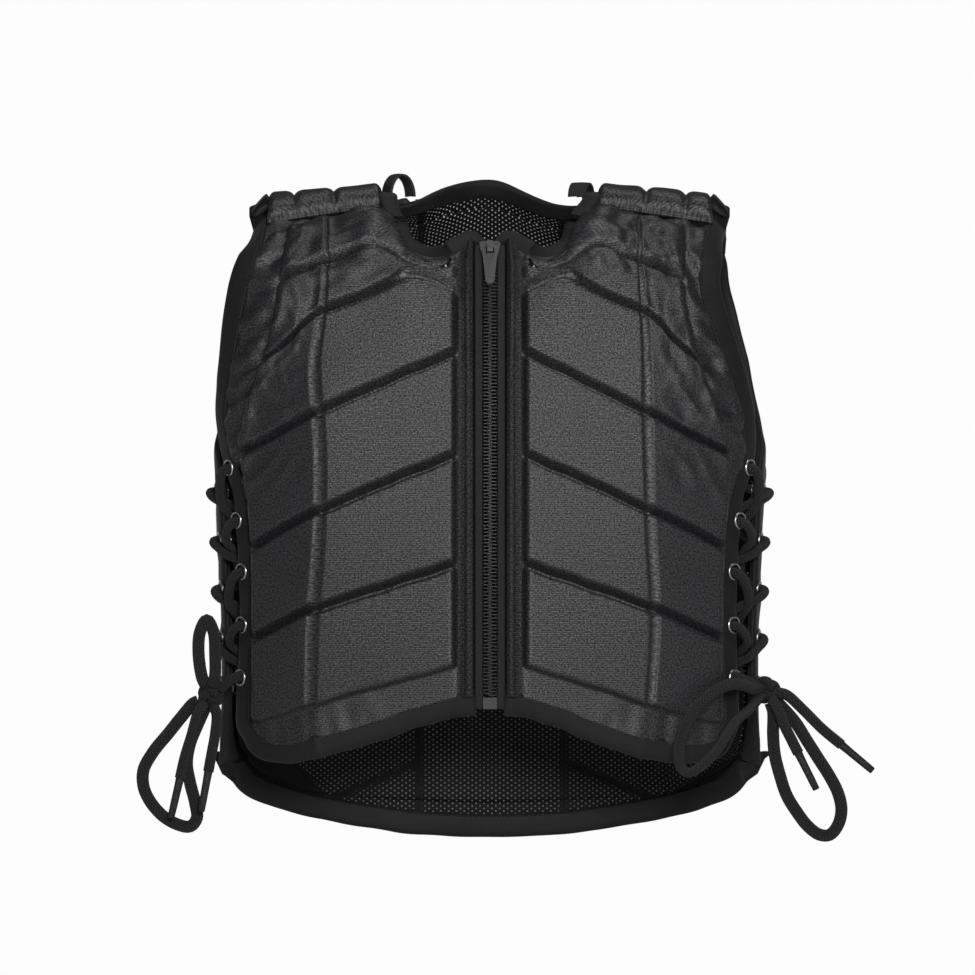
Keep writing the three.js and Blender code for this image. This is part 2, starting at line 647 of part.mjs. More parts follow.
const frontGrids = { left: frontGrid(-1), right: frontGrid(1) };
const backGridPlaces = backPlaces();
const backGrid = backGridPlaces.map((row) => row.map((place) =>
  backSurface(place, -EDGE_THICKNESS, TILE_HEIGHT * place.fill)));
const padGrids = { left: padGrid(-1), right: padGrid(1) };

for (const side of ['left', 'right']) {
  addMesh(`front_panel_${side}`, sheetGeometry(frontGrids[side]), tileCloth);
  addMesh(`shoulder_pad_${side}`, sheetGeometry(padGrids[side]), tileCloth);
}
addMesh('back_panel', sheetGeometry(backGrid, true), tileCloth);

// Mesh lining inside the back, a little short of the panel's edges, along the main lines only.
const isMainRow = (row) => row.shift === 0 || row.towards || row.above || row.below === 0.3;
const isMainColumn = (column) => column.shift === 0 || [0, 0.37].includes(column.at)
  || column.round === 0.42 || column.round === 0.8;
const liningRows = backGridPlaces.filter((row, index) => isMainRow(backRows()[index]));
const liningGrid = liningRows.map((row) => row
  .filter((place, index) => isMainColumn(BACK_COLUMNS[Math.abs(index - BACK_COLUMNS.length + 1)]))
  .map((place) => backSurface(place, -EDGE_THICKNESS - LINING_GAP - LINING_THICKNESS,
    -EDGE_THICKNESS - LINING_GAP)));
addMesh('back_mesh_lining', sheetGeometry(liningGrid), meshCloth);

// Bindings. Each runs along panel edges, from places on the edge and their neighbours further in.
const column = (grid, index) => grid.map((row) => row.at(index));
function framesAlong(parts) {
  const places = parts.flatMap((part) => part.places);
  const neighbours = parts.flatMap((part) => part.neighbours);
  return edgeFrames(places, neighbours);
}
const within = (list) => list.map((entry, index) => list[Math.min(list.length - 2, Math.max(1, index))]);
const alongColumn = (grid, index, inside, from = 0, to = grid.length) => ({
  places: column(grid, index).slice(from, to), neighbours: within(column(grid, inside)).slice(from, to) });
const alongRow = (grid, index, inside, from, to) => ({
  places: grid.at(index).slice(from, to), neighbours: within(grid.at(inside)).slice(from, to) });
const turned = (part) => ({ places: [...part.places].reverse(), neighbours: [...part.neighbours].reverse() });

const edgeFramesFront = {};
for (const side of ['left', 'right']) {
  const grid = frontGrids[side];
  const hem = turned(alongRow(grid, -1, -2, 0, -1));
  edgeFramesFront[side] = framesAlong([alongColumn(grid, -1, -2), hem]);
  edgeFramesFront[side].at(-1).out.setX(0).normalize();
  const neck = framesAlong([alongRow(grid, 0, 1, 0, FRONT_COLUMNS.indexOf('c'))]);
  const zipEnd = { ...neck[0] };
  for (const name of ['point', 'outer', 'inner']) {
    zipEnd[name] = neck[0][name].clone().setX(Math.sign(neck[0].point.x) * (BRIDGE_WIDTH / 2 + 1.2));
  }
  addMesh(`neck_binding_front_${side}`, bindingGeometry([zipEnd, ...neck], NECK_BINDING_WIDTH), bindingCloth);
}

// The back's binding runs on over the shoulders and round the tail as one strip, and the neck's
// runs from one shoulder to the other behind the neck.
const padEdge = (side, index, inside) => turned(alongColumn(padGrids[side], index, inside));
const backLeft = framesAlong([
  padEdge('left', -1, -2),
  turned(turned(alongColumn(backGrid, 0, 1, 1))),
  alongRow(backGrid, -1, -2, 1, -1),
  turned(alongColumn(backGrid, -1, -2, 1)),
  turned(padEdge('right', -1, -2)),
]);
const neckColumns = BACK_COLUMNS.length;
const neckReach = BACK_COLUMNS.findIndex((entry) => entry.at === 0.37);
const backNeck = framesAlong([
  padEdge('left', 0, 1),
  alongRow(backGrid, 0, 1, neckColumns - 1 - neckReach, neckColumns + neckReach),
  turned(padEdge('right', 0, 1)),
]);
addMesh('neck_binding_back', bindingGeometry(backNeck, NECK_BINDING_WIDTH * 0.8), bindingCloth);

// Booleans: a closed geometry as a solid, and a solid back as a geometry.
const wasm = await Module();
wasm.setup();

function toSolid(geometry) {
  const bare = geometry.clone();
  bare.deleteAttribute('normal');
  bare.deleteAttribute('uv');
  const merged = mergeVertices(bare, 1e-4);
  return new wasm.Manifold(new wasm.Mesh({
    numProp: 3,
    vertProperties: new Float32Array(merged.attributes.position.array),
    triVerts: new Uint32Array(merged.index.array),
  }));
}

function toGeometry(solid) {
  const mesh = solid.getMesh();
  const geometry = new THREE.BufferGeometry();
  geometry.setAttribute('position', new THREE.Float32BufferAttribute(mesh.vertProperties, 3));
  geometry.setIndex(Array.from(mesh.triVerts));
  geometry.computeVertexNormals();
  return geometry;
}

// A round bar along +Y, of the given radius and length, about its middle.
const barGeometry = (radius, length, sides) => new THREE.CylinderGeometry(radius, radius, length, sides);
const UP = new THREE.Vector3(0, 1, 0);
const placed = (geometry, point, axis) => geometry
  .applyQuaternion(new THREE.Quaternion().setFromUnitVectors(UP, axis)).translate(...point.toArray());

// Eyelets, in the middle of the side bindings.
function eyeletFrame(frames, height) {
  const index = frames.findIndex((frame, at) => at > 0 && Math.abs(frame.point.x) > 0.8 * HALF_WIDTH
    && (frame.point.z - height) * (frames[at - 1].point.z - height) <= 0);
  const before = frames[index - 1];
  const after = frames[index];
  const share = (height - before.point.z) / (after.point.z - before.point.z);
  const between = (name) => before[name].clone().lerp(after[name], share);
  const out = between('out').normalize();
  const taper = BINDING_THICKNESS * 0.2 / EDGE_BINDING_WIDTH;
  const normal = between('normal').normalize().addScaledVector(out, taper).normalize();
  const point = between('point').addScaledVector(out, GAP + EDGE_BINDING_WIDTH / 2);
  return { point, out, normal };
}

const BINDING_HALF = BINDING_THICKNESS * 0.4;
const EYELET_BORE = LACE_TIGHT_DIAMETER / 2 + LACE_CLEARANCE;
const EYELET_SIDES = 8;
const HOLE_SIDES = 6;
const HOLE_RADIUS = EYELET_BORE / Math.cos(Math.PI / HOLE_SIDES);
function eyeletGeometry() {
  const crown = mix(EYELET_BORE, EYELET_RADIUS, 0.4);
  const profile = [[EYELET_BORE, 0], [EYELET_RADIUS, 0], [crown, EYELET_HEIGHT], [EYELET_BORE, 0]]
    .map(([x, y]) => new THREE.Vector2(x, y));
  return new THREE.LatheGeometry(profile, EYELET_SIDES);
}

const eyelets = {};
for (const side of ['left', 'right']) {
  const sidePart = side === 'left' ? backLeft.slice(0, backLeft.length / 2) : [...backLeft].reverse();
  const runs = { front: edgeFramesFront[side], back: sidePart };
  for (const [part, frames] of Object.entries(runs)) {
    eyelets[`${part}_${side}`] = Array.from({ length: EYELET_COUNT }, (unused, index) =>
      eyeletFrame(frames, -EYELETS[part].top - index * EYELETS[part].pitch));
  }
}

function punched(geometry, frames) {
  const holes = frames.map((frame) => toSolid(placed(
    barGeometry(HOLE_RADIUS, BINDING_THICKNESS * 3, HOLE_SIDES), frame.point, frame.normal)));
  return toGeometry(holes.reduce((solid, hole) => solid.subtract(hole), toSolid(geometry)));
}

addMesh('back_edge_binding', punched(bindingGeometry(backLeft, EDGE_BINDING_WIDTH),
  [...eyelets.back_left, ...eyelets.back_right]), bindingCloth);
for (const side of ['left', 'right']) {
  addMesh(`front_edge_binding_${side}`,
    punched(bindingGeometry(edgeFramesFront[side], EDGE_BINDING_WIDTH), eyelets[`front_${side}`]), bindingCloth);
  for (const part of ['front', 'back']) {
    eyelets[`${part}_${side}`].forEach((frame, index) => {
      const seat = frame.point.clone().addScaledVector(frame.normal, BINDING_HALF + GAP * 1.5);
      addMesh(`eyelet_${part}_${side}_${index + 1}`, placed(eyeletGeometry(), seat, frame.normal), eyeletMetal);
    });
  }
}

// Zip: two tapes, two rows of teeth, each following the front's curve.
const ZIP_BOTTOM = FRONT_LENGTH * FRONT_LINES.at(-1).zip;
function zipStrip(side, near, far, low, high, bottom, steps) {
  const rings = [];
  for (let step = 0; step <= steps; step += 1) {
    const height = -mix(ZIP_TOP, bottom, (step / steps) ** 1.7);
    rings.push([[near, low], [far, low], [far, high], [near, high]]
      .map(([x, lift]) => frontPoint(side * x, height, lift)));
  }
  return ringsGeometry(rings);
}
const ZIP_STEPS = 12;
const TEETH_TOP = TEETH_THICKNESS / 2 - EDGE_THICKNESS / 2;
for (const [name, side] of [['left', -1], ['right', 1]]) {
  addMesh(`zip_tape_${name}`, zipStrip(side, TEETH_HALF_WIDTH + GAP, ZIP_EDGE - GAP,
    -EDGE_THICKNESS / 2 - TAPE_THICKNESS / 2, -EDGE_THICKNESS / 2 + TAPE_THICKNESS / 2,
    ZIP_BOTTOM + BOTTOM_BOX_LENGTH + GAP, ZIP_STEPS), zipCloth);
  addMesh(`zip_teeth_${name}`, zipStrip(side, GAP / 2, TEETH_HALF_WIDTH,
    TEETH_TOP - TEETH_THICKNESS, TEETH_TOP, ZIP_BOTTOM, ZIP_STEPS), zipMetal);
}

// A piece of the zip's hardware is drawn flat: x across, y up the zip, z out of the garment.
function zipGroup(height) {
  const place = new THREE.Group();
  const point = frontPoint(0, height, TEETH_TOP);
  const above = frontPoint(0, height + 4, TEETH_TOP);
  const below = frontPoint(0, height - 4, TEETH_TOP);
  const upwards = above.sub(below).normalize();
  place.position.copy(point);
  place.rotation.x = Math.atan2(upwards.z, upwards.y);
  group.add(place);
  return place;
}

function plate(corners, thickness, bottom, holes = []) {
  const shape = new THREE.Shape(corners.map(([x, y]) => new THREE.Vector2(x, y)));
  for (const hole of holes) shape.holes.push(new THREE.Path(hole.map(([x, y]) => new THREE.Vector2(x, y))));
  return new THREE.ExtrudeGeometry(shape, { depth: thickness, bevelEnabled: false }).translate(0, 0, bottom);
}

const SLIDER_LIFT = 0.4;
const SLIDER_HEIGHT = -ZIP_TOP - GAP * 2 - SLIDER_LENGTH / 2;
const BAR_REACH = PULL_THICKNESS * Math.SQRT1_2 + PIN_CLEARANCE;
const PULL_LIFT = SLIDER_LIFT + SLIDER_THICKNESS + BAR_REACH;
function sliderGeometry() {
  const half = SLIDER_WIDTH / 2;
  const long = SLIDER_LENGTH / 2;
  const body = plate([[-half, long * 0.75], [-half * 0.7, long], [half * 0.7, long], [half, long * 0.75],
    [half * 0.72, -long], [-half * 0.72, -long]], SLIDER_THICKNESS, SLIDER_LIFT);
  const top = SLIDER_LIFT + SLIDER_THICKNESS;
  const window = PULL_LIFT + BAR_REACH;
  const roof = window + 1.1;
  const upright = new THREE.Matrix4().set(0, 0, 1, 0, 1, 0, 0, 0, 0, 1, 0, 0, 0, 0, 0, 1);
  const arch = plate([[-4.4, top - 0.5], [-4.4, window], [-3.2, roof], [3.2, roof], [4.4, window],
    [4.4, top - 0.5], [2.8, top - 0.5], [2.8, window - 0.4], [2.2, window], [-2.2, window],
    [-2.8, window - 0.4], [-2.8, top - 0.5]], BRIDGE_WIDTH, -BRIDGE_WIDTH / 2).applyMatrix4(upright);
  return toGeometry(toSolid(body).add(toSolid(arch)));
}

function pullGeometry() {
  const half = PULL_WIDTH / 2;
  const tip = PULL_TIP_WIDTH / 2;
  const bar = PULL_THICKNESS / 2;
  const opening = BRIDGE_WIDTH / 2 + 0.7;
  const reach = 5.4;
  const outline = plate([[-half, bar], [-half, -reach], [-tip, -PULL_LENGTH + 1.5],
    [-tip * 0.5, -PULL_LENGTH], [tip * 0.5, -PULL_LENGTH], [tip, -PULL_LENGTH + 1.5], [half, -reach],
    [half, bar]], PULL_THICKNESS, -PULL_THICKNESS / 2);
  const slot = new THREE.BoxGeometry(opening * 2, reach - bar, PULL_THICKNESS * 2)
    .translate(0, -(reach + bar) / 2, 0);
  return toGeometry(toSolid(outline).subtract(toSolid(slot)));
}

const sliderPlace = zipGroup(SLIDER_HEIGHT);
addMesh('zip_slider', sliderGeometry(), zipMetal, sliderPlace);
const pull = addMesh('zip_pull', pullGeometry(), zipMetal, sliderPlace);
pull.position.set(0, 0, PULL_LIFT);

const boxPlace = zipGroup(-ZIP_BOTTOM - GAP - BOTTOM_BOX_LENGTH / 2);
const boxHalf = BOTTOM_BOX_WIDTH / 2;
addMesh('zip_bottom_box', plate([[-boxHalf, -BOTTOM_BOX_LENGTH / 2], [boxHalf, -BOTTOM_BOX_LENGTH / 2],
  [boxHalf, BOTTOM_BOX_LENGTH / 2], [-boxHalf, BOTTOM_BOX_LENGTH / 2]], TEETH_THICKNESS,
  -TEETH_THICKNESS), zipMetal, boxPlace);

// Cords.
class Route extends THREE.CatmullRomCurve3 {
  constructor(points) {
    super(points, false, 'centripetal');
  }

  getUtoTmapping(u) {
    return u;
  }
}

function cordGeometry(points, diameter, steps, sides) {
  const outline = Array.from({ length: sides }, (unused, side) => {
    const angle = 2 * Math.PI * side / sides;
    return new THREE.Vector2(Math.cos(angle), Math.sin(angle)).multiplyScalar(diameter / 2);
  });
  return new THREE.ExtrudeGeometry(new THREE.Shape(outline),
    { steps, bevelEnabled: false, extrudePath: new Route(points) });
}

// The lace goes up through an eyelet, over the gap, under the other edge and up through the next
// eyelet there, from the knot up to the top and down again to the knot.
const knots = {
  left: new THREE.Vector3(-168, -38, -289),
  right: new THREE.Vector3(166, -38, -285),
};
const LACE_OVER = BINDING_HALF + EYELET_HEIGHT + LACE_TIGHT_DIAMETER / 2 + 5 * GAP;
const LACE_UNDER = BINDING_HALF + LACE_TIGHT_DIAMETER / 2 + 4 * GAP;
const towardsKnot = (knot, from) => knot.clone().addScaledVector(
  from.clone().sub(knot).normalize(), KNOT_RADIUS + GAP * 1.5);

// Places along a strand between two eyelets: the share of the way, and the height over the edges.
const STRAND = [
  { way: 0.045, lift: LACE_OVER },
  { way: 0.28, lift: LACE_OVER },
  { way: 0.5, lift: 0 },
  { way: 0.76, lift: -LACE_UNDER + 0.7 },
  { way: 0.955, lift: -LACE_UNDER },
];

function strand(from, to, crossing) {
  return STRAND.map(({ way, lift }) => {
    const share = Math.round(way * 2) / 2;
    const normal = from.normal.clone().lerp(to.normal, share).normalize();
    return from.point.clone().lerp(to.point, way).addScaledVector(normal, way === 0.5 ? crossing : lift);
  });
}

function laceRoute(side) {
  const ends = { front: eyelets[`front_${side}`], back: eyelets[`back_${side}`] };
  const last = EYELET_COUNT - 1;
  const knot = knots[side];
  const leg = (first, second, crossing) => {
    const points = [ends[first][0].point.clone()];
    for (let index = 0; index < last; index += 1) {
      const [near, far] = index % 2 ? [second, first] : [first, second];
      points.push(...strand(ends[near][index], ends[far][index + 1], crossing));
    }
    const end = ends[last % 2 ? second : first][last];
    const over = end.point.clone().addScaledVector(end.normal, LACE_OVER);
    return [...points, over, towardsKnot(knot, over)];
  };
  const inside = (name, other) => ends[name][0].point.clone().lerp(ends[other][0].point, 0.12)
    .addScaledVector(ends[name][0].normal, -LACE_UNDER);
  const bar = [inside('front', 'back'), inside('back', 'front')];
  return [...leg('front', 'back', 4.5).reverse(), ...bar, ...leg('back', 'front', -1.3)];
}

for (const side of ['left', 'right']) {
  const points = laceRoute(side);
  addMesh(`side_lace_${side}`, cordGeometry(points, LACE_TIGHT_DIAMETER, points.length - 1, 8), laceCord);
  const knot = new THREE.SphereGeometry(KNOT_RADIUS, 8, 6);
  addMesh(`lace_knot_${side}`, knot, laceCord).position.copy(knots[side]);
}

// Bows: each loop leaves the knot and comes back to it, each tail ends in an aglet. The points
// are hand chosen, in millimetres.
const BOW_ROUTES = {
  left: {
    loop_a: [[-173, -43, -277], [-175, -43, -262], [-174, -43, -250], [-170, -43, -243], [-166, -44, -250],
      [-165, -45, -264], [-165, -47, -276]],
    loop_b: [[-178, -39, -293], [-185, -40, -301], [-193, -41, -311], [-202, -41, -322], [-208, -41, -333],
      [-208, -41, -343], [-204, -41, -352], [-196, -41, -361], [-187, -41, -366], [-180, -41, -367],
      [-176, -41, -362], [-177, -41, -353], [-180, -41, -341], [-182, -41, -329], [-180, -41, -317],
      [-176, -40, -307]],
    tail_a: [[-175, -50, -298], [-179, -51, -312], [-183, -51, -325], [-186, -51, -338]],
    tail_b: [[-164, -48, -300], [-165, -50, -312], [-167, -50, -323], [-169, -50, -334]],
  },
  right: {
    loop_a: [[158, -53, -284], [148, -62, -281], [137, -70, -284], [128, -76, -291], [120, -80, -301],
      [115, -82, -312], [113, -82, -322], [114, -83, -330], [118, -85, -334], [124, -86, -332],
      [131, -85, -326], [137, -82, -319], [142, -77, -311], [148, -69, -303], [156, -57, -296]],
    loop_b: [[170, -38, -298], [170, -39, -312], [171, -40, -324], [174, -40, -336], [178, -40, -348],
      [184, -40, -358], [191, -40, -367], [198, -40, -372], [204, -40, -372], [209, -40, -366],
      [211, -40, -357], [209, -40, -347], [204, -40, -337], [197, -40, -326], [190, -40, -315],
      [183, -39, -304]],
    tail_a: [[178, -45, -288], [188, -49, -297], [199, -51, -308], [211, -51, -318]],
    tail_b: [[173, -48, -297], [177, -50, -307], [181, -50, -315], [185, -50, -323]],
  },
};

for (const [side, routes] of Object.entries(BOW_ROUTES)) {
  const knot = knots[side];
  for (const [name, list] of Object.entries(routes)) {
    const points = list.map((point) => new THREE.Vector3(...point));
    const surface = (point) => knot.clone().addScaledVector(point.clone().sub(knot).normalize(),
      KNOT_RADIUS + GAP * 0.8);
    const route = name.startsWith('loop')
      ? [surface(points[0]), ...points, surface(points.at(-1))] : [surface(points[0]), ...points];
    const steps = Math.round(new Route(route).getLength() / (LACE_DIAMETER * 2));
    addMesh(`bow_${name}_${side}`, cordGeometry(route, LACE_DIAMETER, steps, 8), laceCord);
    if (name.startsWith('tail')) {
      const end = points.at(-1);
      const way = end.clone().sub(points.at(-2)).normalize();
      const middle = end.clone().addScaledVector(way, AGLET_LENGTH / 2 + GAP);
      addMesh(`aglet_${name.at(-1)}_${side}`,
        placed(barGeometry(AGLET_DIAMETER / 2, AGLET_LENGTH, 8), middle, way), agletPlastic);
    }
  }
}

// Small elastic loops, arches of flat strap standing on the neck's binding beside each pad.
function strapLoop(foot, turn, span, rise) {
  const steps = 8;
  const rings = [];
  const turned2 = (x, y, z) => new THREE.Vector3(x, y, z).applyAxisAngle(new THREE.Vector3(0, 0, 1), turn);
  for (let step = 0; step <= steps; step += 1) {
    const angle = Math.PI * step / steps;
    const ring = [[-1, -1], [1, -1], [1, 1], [-1, 1]].map(([across, outwards]) => {
      const reach = 1 + outwards * LOOP_STRAP_THICKNESS / span;
      return turned2(-Math.cos(angle) * span / 2 * reach, across * LOOP_STRAP_WIDTH / 2,
        Math.sin(angle) * (rise + outwards * LOOP_STRAP_THICKNESS / 2)).add(foot);
    });
    rings.push(ring);
  }
  return ringsGeometry(rings);
}
addMesh('neck_loop_left', strapLoop(new THREE.Vector3(-55, 4, 11.6), 0.5, 16, 13), bindingCloth);
addMesh('neck_loop_right', strapLoop(new THREE.Vector3(55, 5, 11.4), 1.25, 17, 8), bindingCloth);

export default group;
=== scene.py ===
import math

import bpy
import numpy as np
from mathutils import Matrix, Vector


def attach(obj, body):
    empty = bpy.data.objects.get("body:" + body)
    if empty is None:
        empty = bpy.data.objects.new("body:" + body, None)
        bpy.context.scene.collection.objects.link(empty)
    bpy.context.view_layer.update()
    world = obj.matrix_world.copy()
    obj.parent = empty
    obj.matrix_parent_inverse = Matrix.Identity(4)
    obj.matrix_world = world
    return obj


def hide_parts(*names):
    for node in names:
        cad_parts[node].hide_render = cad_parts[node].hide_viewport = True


# An equestrian body protector, held up as if worn. Sizes are in millimetres until a mesh is made.
# Left and right are as seen from the front.
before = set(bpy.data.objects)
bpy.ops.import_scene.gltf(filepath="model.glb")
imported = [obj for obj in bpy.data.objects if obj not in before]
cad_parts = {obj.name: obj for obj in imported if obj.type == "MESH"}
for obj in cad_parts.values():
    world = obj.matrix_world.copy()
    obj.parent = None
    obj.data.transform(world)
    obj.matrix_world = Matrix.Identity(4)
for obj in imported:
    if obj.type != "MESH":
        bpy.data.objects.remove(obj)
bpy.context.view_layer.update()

# ---- Camera ----
# A long lens level with the middle of the vest, looking straight at its front.
VIEW_WIDTH = 0.585
VIEW_CENTRE = (-0.0015, -0.1635)
CAMERA_DISTANCE = 14.0
camera_data = bpy.data.cameras.new("camera")
camera_data.sensor_width = 36
camera_data.lens = 36 * CAMERA_DISTANCE / VIEW_WIDTH
camera_data.clip_end = 60
camera = bpy.data.objects.new("camera", camera_data)
camera.location = (VIEW_CENTRE[0], -CAMERA_DISTANCE - 0.05, VIEW_CENTRE[1])
camera.rotation_euler = (math.radians(90), 0, 0)
bpy.context.scene.collection.objects.link(camera)
bpy.context.scene.camera = camera


# ---- Bows of the side laces ----
# Round polyester cord, braided of black yarns with a few paler ones, tied in a bow on each side.
# The ends are sheathed in shrunk plastic aglets.
def linear(hex_colour):
    channels = [int(hex_colour[at:at + 2], 16) / 255 for at in (1, 3, 5)]
    return [c / 12.92 if c <= 0.04045 else ((c + 0.055) / 1.055) ** 2.4 for c in channels] + [1]


def new_material(name):
    made = bpy.data.materials.new(name)
    made.use_nodes = True
    made.node_tree.nodes.clear()
    return made, made.node_tree


def add(tree, kind, inputs=None, **settings):
    """Adds a shader node with its settings and with its inputs set or linked."""
    made = tree.nodes.new("ShaderNode" + kind)
    for name, value in settings.items():
        setattr(made, name, value)
    for key, value in (inputs or {}).items():
        if isinstance(value, bpy.types.NodeSocket):
            tree.links.new(value, made.inputs[key])
        else:
            made.inputs[key].default_value = value
    return made


def maths(tree, operation, first, second=0.0):
    return add(tree, "Math", {0: first, 1: second}, operation=operation).outputs[0]


def surface(tree, inputs, height=None, bump_depth=0.0002, strength=1.0):
    """Ends a material: the bump, the surface shader and the output."""
    inputs = dict(inputs)
    if height is not None:
        bump = add(tree, "Bump", {"Strength": strength, "Distance": bump_depth, "Height": height})
        inputs["Normal"] = bump.outputs[0]
    shader = add(tree, "BsdfPrincipled", inputs)
    add(tree, "OutputMaterial", {"Surface": shader.outputs[0]})


def make_mesh(name, points, faces, uvs=None, smooth=True, materials=(), face_materials=None):
    """A mesh object from points in millimetres; uvs has a pair in metres for each point."""
    mesh = bpy.data.meshes.new(name)
    mesh.from_pydata((np.asarray(points, float) * 0.001).tolist(), [], [list(f) for f in faces])
    if uvs is not None:
        layer = mesh.uv_layers.new(name="UVMap")
        loops = np.zeros(len(mesh.loops), np.int32)
        mesh.loops.foreach_get("vertex_index", loops)
        layer.data.foreach_set("uv", np.asarray(uvs, np.float32)[loops].ravel())
    mesh.polygons.foreach_set("use_smooth", [smooth] * len(mesh.polygons))
    for material in materials:
        mesh.materials.append(material)
    if face_materials is not None:
        mesh.polygons.foreach_set("material_index", face_materials)
    mesh.update()
    made = bpy.data.objects.new(name, mesh)
    bpy.context.scene.collection.objects.link(made)
    return made


def unit(vectors):
    vectors = np.asarray(vectors, float)
    return vectors / np.maximum(np.linalg.norm(vectors, axis=-1, keepdims=True), 1e-9)


def route(points, spacing):
    """Points along a smooth curve through the given ones, about so far apart."""
    points = np.asarray(points, float)
    ends = np.vstack([2 * points[0] - points[1], points, 2 * points[-1] - points[-2]])
    found = [points[0]]
    for at in range(len(points) - 1):
        p0, p1, p2, p3 = ends[at:at + 4]
        d0, d1, d2 = (max(np.linalg.norm(b - a), 1e-4) ** 0.5 for a, b in ((p0, p1), (p1, p2), (p2, p3)))
        t1 = ((p1 - p0) / d0 - (p2 - p0) / (d0 + d1) + (p2 - p1) / d1) * d1
        t2 = ((p2 - p1) / d1 - (p3 - p1) / (d1 + d2) + (p3 - p2) / d2) * d1
        count = max(2, round(np.linalg.norm(p2 - p1) / spacing))
        for step in range(1, count + 1):
            t = step / count
            found.append(p1 + t1 * t + (3 * (p2 - p1) - 2 * t1 - t2) * t ** 2
                         + (2 * (p1 - p2) + t1 + t2) * t ** 3)
    return np.array(found)


def tube(name, path, widths, depths, sides=14, flat_to=(0, 1, 0), capped=True):
    """A closed tube of oval section along a path, with its narrow way along flat_to."""
    path = np.asarray(path, float)
    tangents = unit(np.gradient(path, axis=0))
    normal = np.array(flat_to, float)
    widths = np.broadcast_to(widths, len(path))
    depths = np.broadcast_to(depths, len(path))
    lengths = np.concatenate([[0], np.cumsum(np.linalg.norm(np.diff(path, axis=0), axis=1))])
    points, uvs, faces = [], [], []
    angles = np.linspace(0, 2 * np.pi, sides + 1)
    for at, (centre, tangent) in enumerate(zip(path, tangents)):
        normal = normal - tangent * normal.dot(tangent)
        normal = normal / max(np.linalg.norm(normal), 1e-9)
        side = np.cross(tangent, normal)
        for angle in angles:
            points.append(centre + side * math.cos(angle) * widths[at] / 2
                          + normal * math.sin(angle) * depths[at] / 2)
            uvs.append((angle / (2 * np.pi), lengths[at] * 0.001))
    ring = sides + 1
    for at in range(len(path) - 1):
        for side in range(sides):
            here = at * ring + side
            faces.append((here, here + 1, here + ring + 1, here + ring))
    if capped:
        last = (len(path) - 1) * ring
        faces.append(tuple(range(sides - 1, -1, -1)))
        faces.append(tuple(last + side for side in range(sides)))
    return make_mesh(name, points, faces, uvs)


# Braided black polyester: two sets of yarns that cross, each a plump ridge, and worn bright specks.
def braid_material():
    made, tree = new_material("braided_polyester_cord")
    uv = add(tree, "UVMap").outputs[0]
    parts = add(tree, "SeparateXYZ", {0: uv})
    along = maths(tree, "DIVIDE", parts.outputs[1], 0.0046)
    around = maths(tree, "MULTIPLY", parts.outputs[0], 5)
    first = maths(tree, "SINE", maths(tree, "MULTIPLY", maths(tree, "ADD", along, around), 2 * math.pi))
    second = maths(tree, "SINE", maths(tree, "MULTIPLY", maths(tree, "SUBTRACT", along, around), 2 * math.pi))
    ridges = maths(tree, "MULTIPLY", first, second)
    height = maths(tree, "ABSOLUTE", ridges)
    noise = add(tree, "TexNoise", {"Scale": 1400.0, "Detail": 2.0})
    specks = add(tree, "ValToRGB", {0: noise.outputs[0]})
    specks.color_ramp.elements[0].position = 0.55
    specks.color_ramp.elements[1].position = 0.72
    colour = add(tree, "Mix", {"Factor": maths(tree, "MULTIPLY", height, 0.75),
                               6: linear("#0d0d0e"), 7: linear("#2b2b2d")}, data_type="RGBA")
    flecked = add(tree, "Mix", {"Factor": maths(tree, "MULTIPLY", specks.outputs[0], 0.35),
                                6: colour.outputs[2], 7: linear("#6d6d70")}, data_type="RGBA")
    surface(tree, {"Base Color": flecked.outputs[2], "Roughness": 0.62, "Specular IOR Level": 0.3,
                   "Sheen Weight": 0.05}, height, 0.0006)
    return made


# Black polyolefin tube shrunk on: smooth, with a soft gloss and slight waves.
def aglet_material():
    made, tree = new_material("shrunk_polyolefin_sleeve")
    noise = add(tree, "TexNoise", {"Scale": 260.0, "Detail": 3.0})
    rough = maths(tree, "ADD", maths(tree, "MULTIPLY", noise.outputs[0], 0.2), 0.28)
    surface(tree, {"Base Color": linear("#151516"), "Roughness": rough}, noise.outputs[0], 0.0002)
    return made


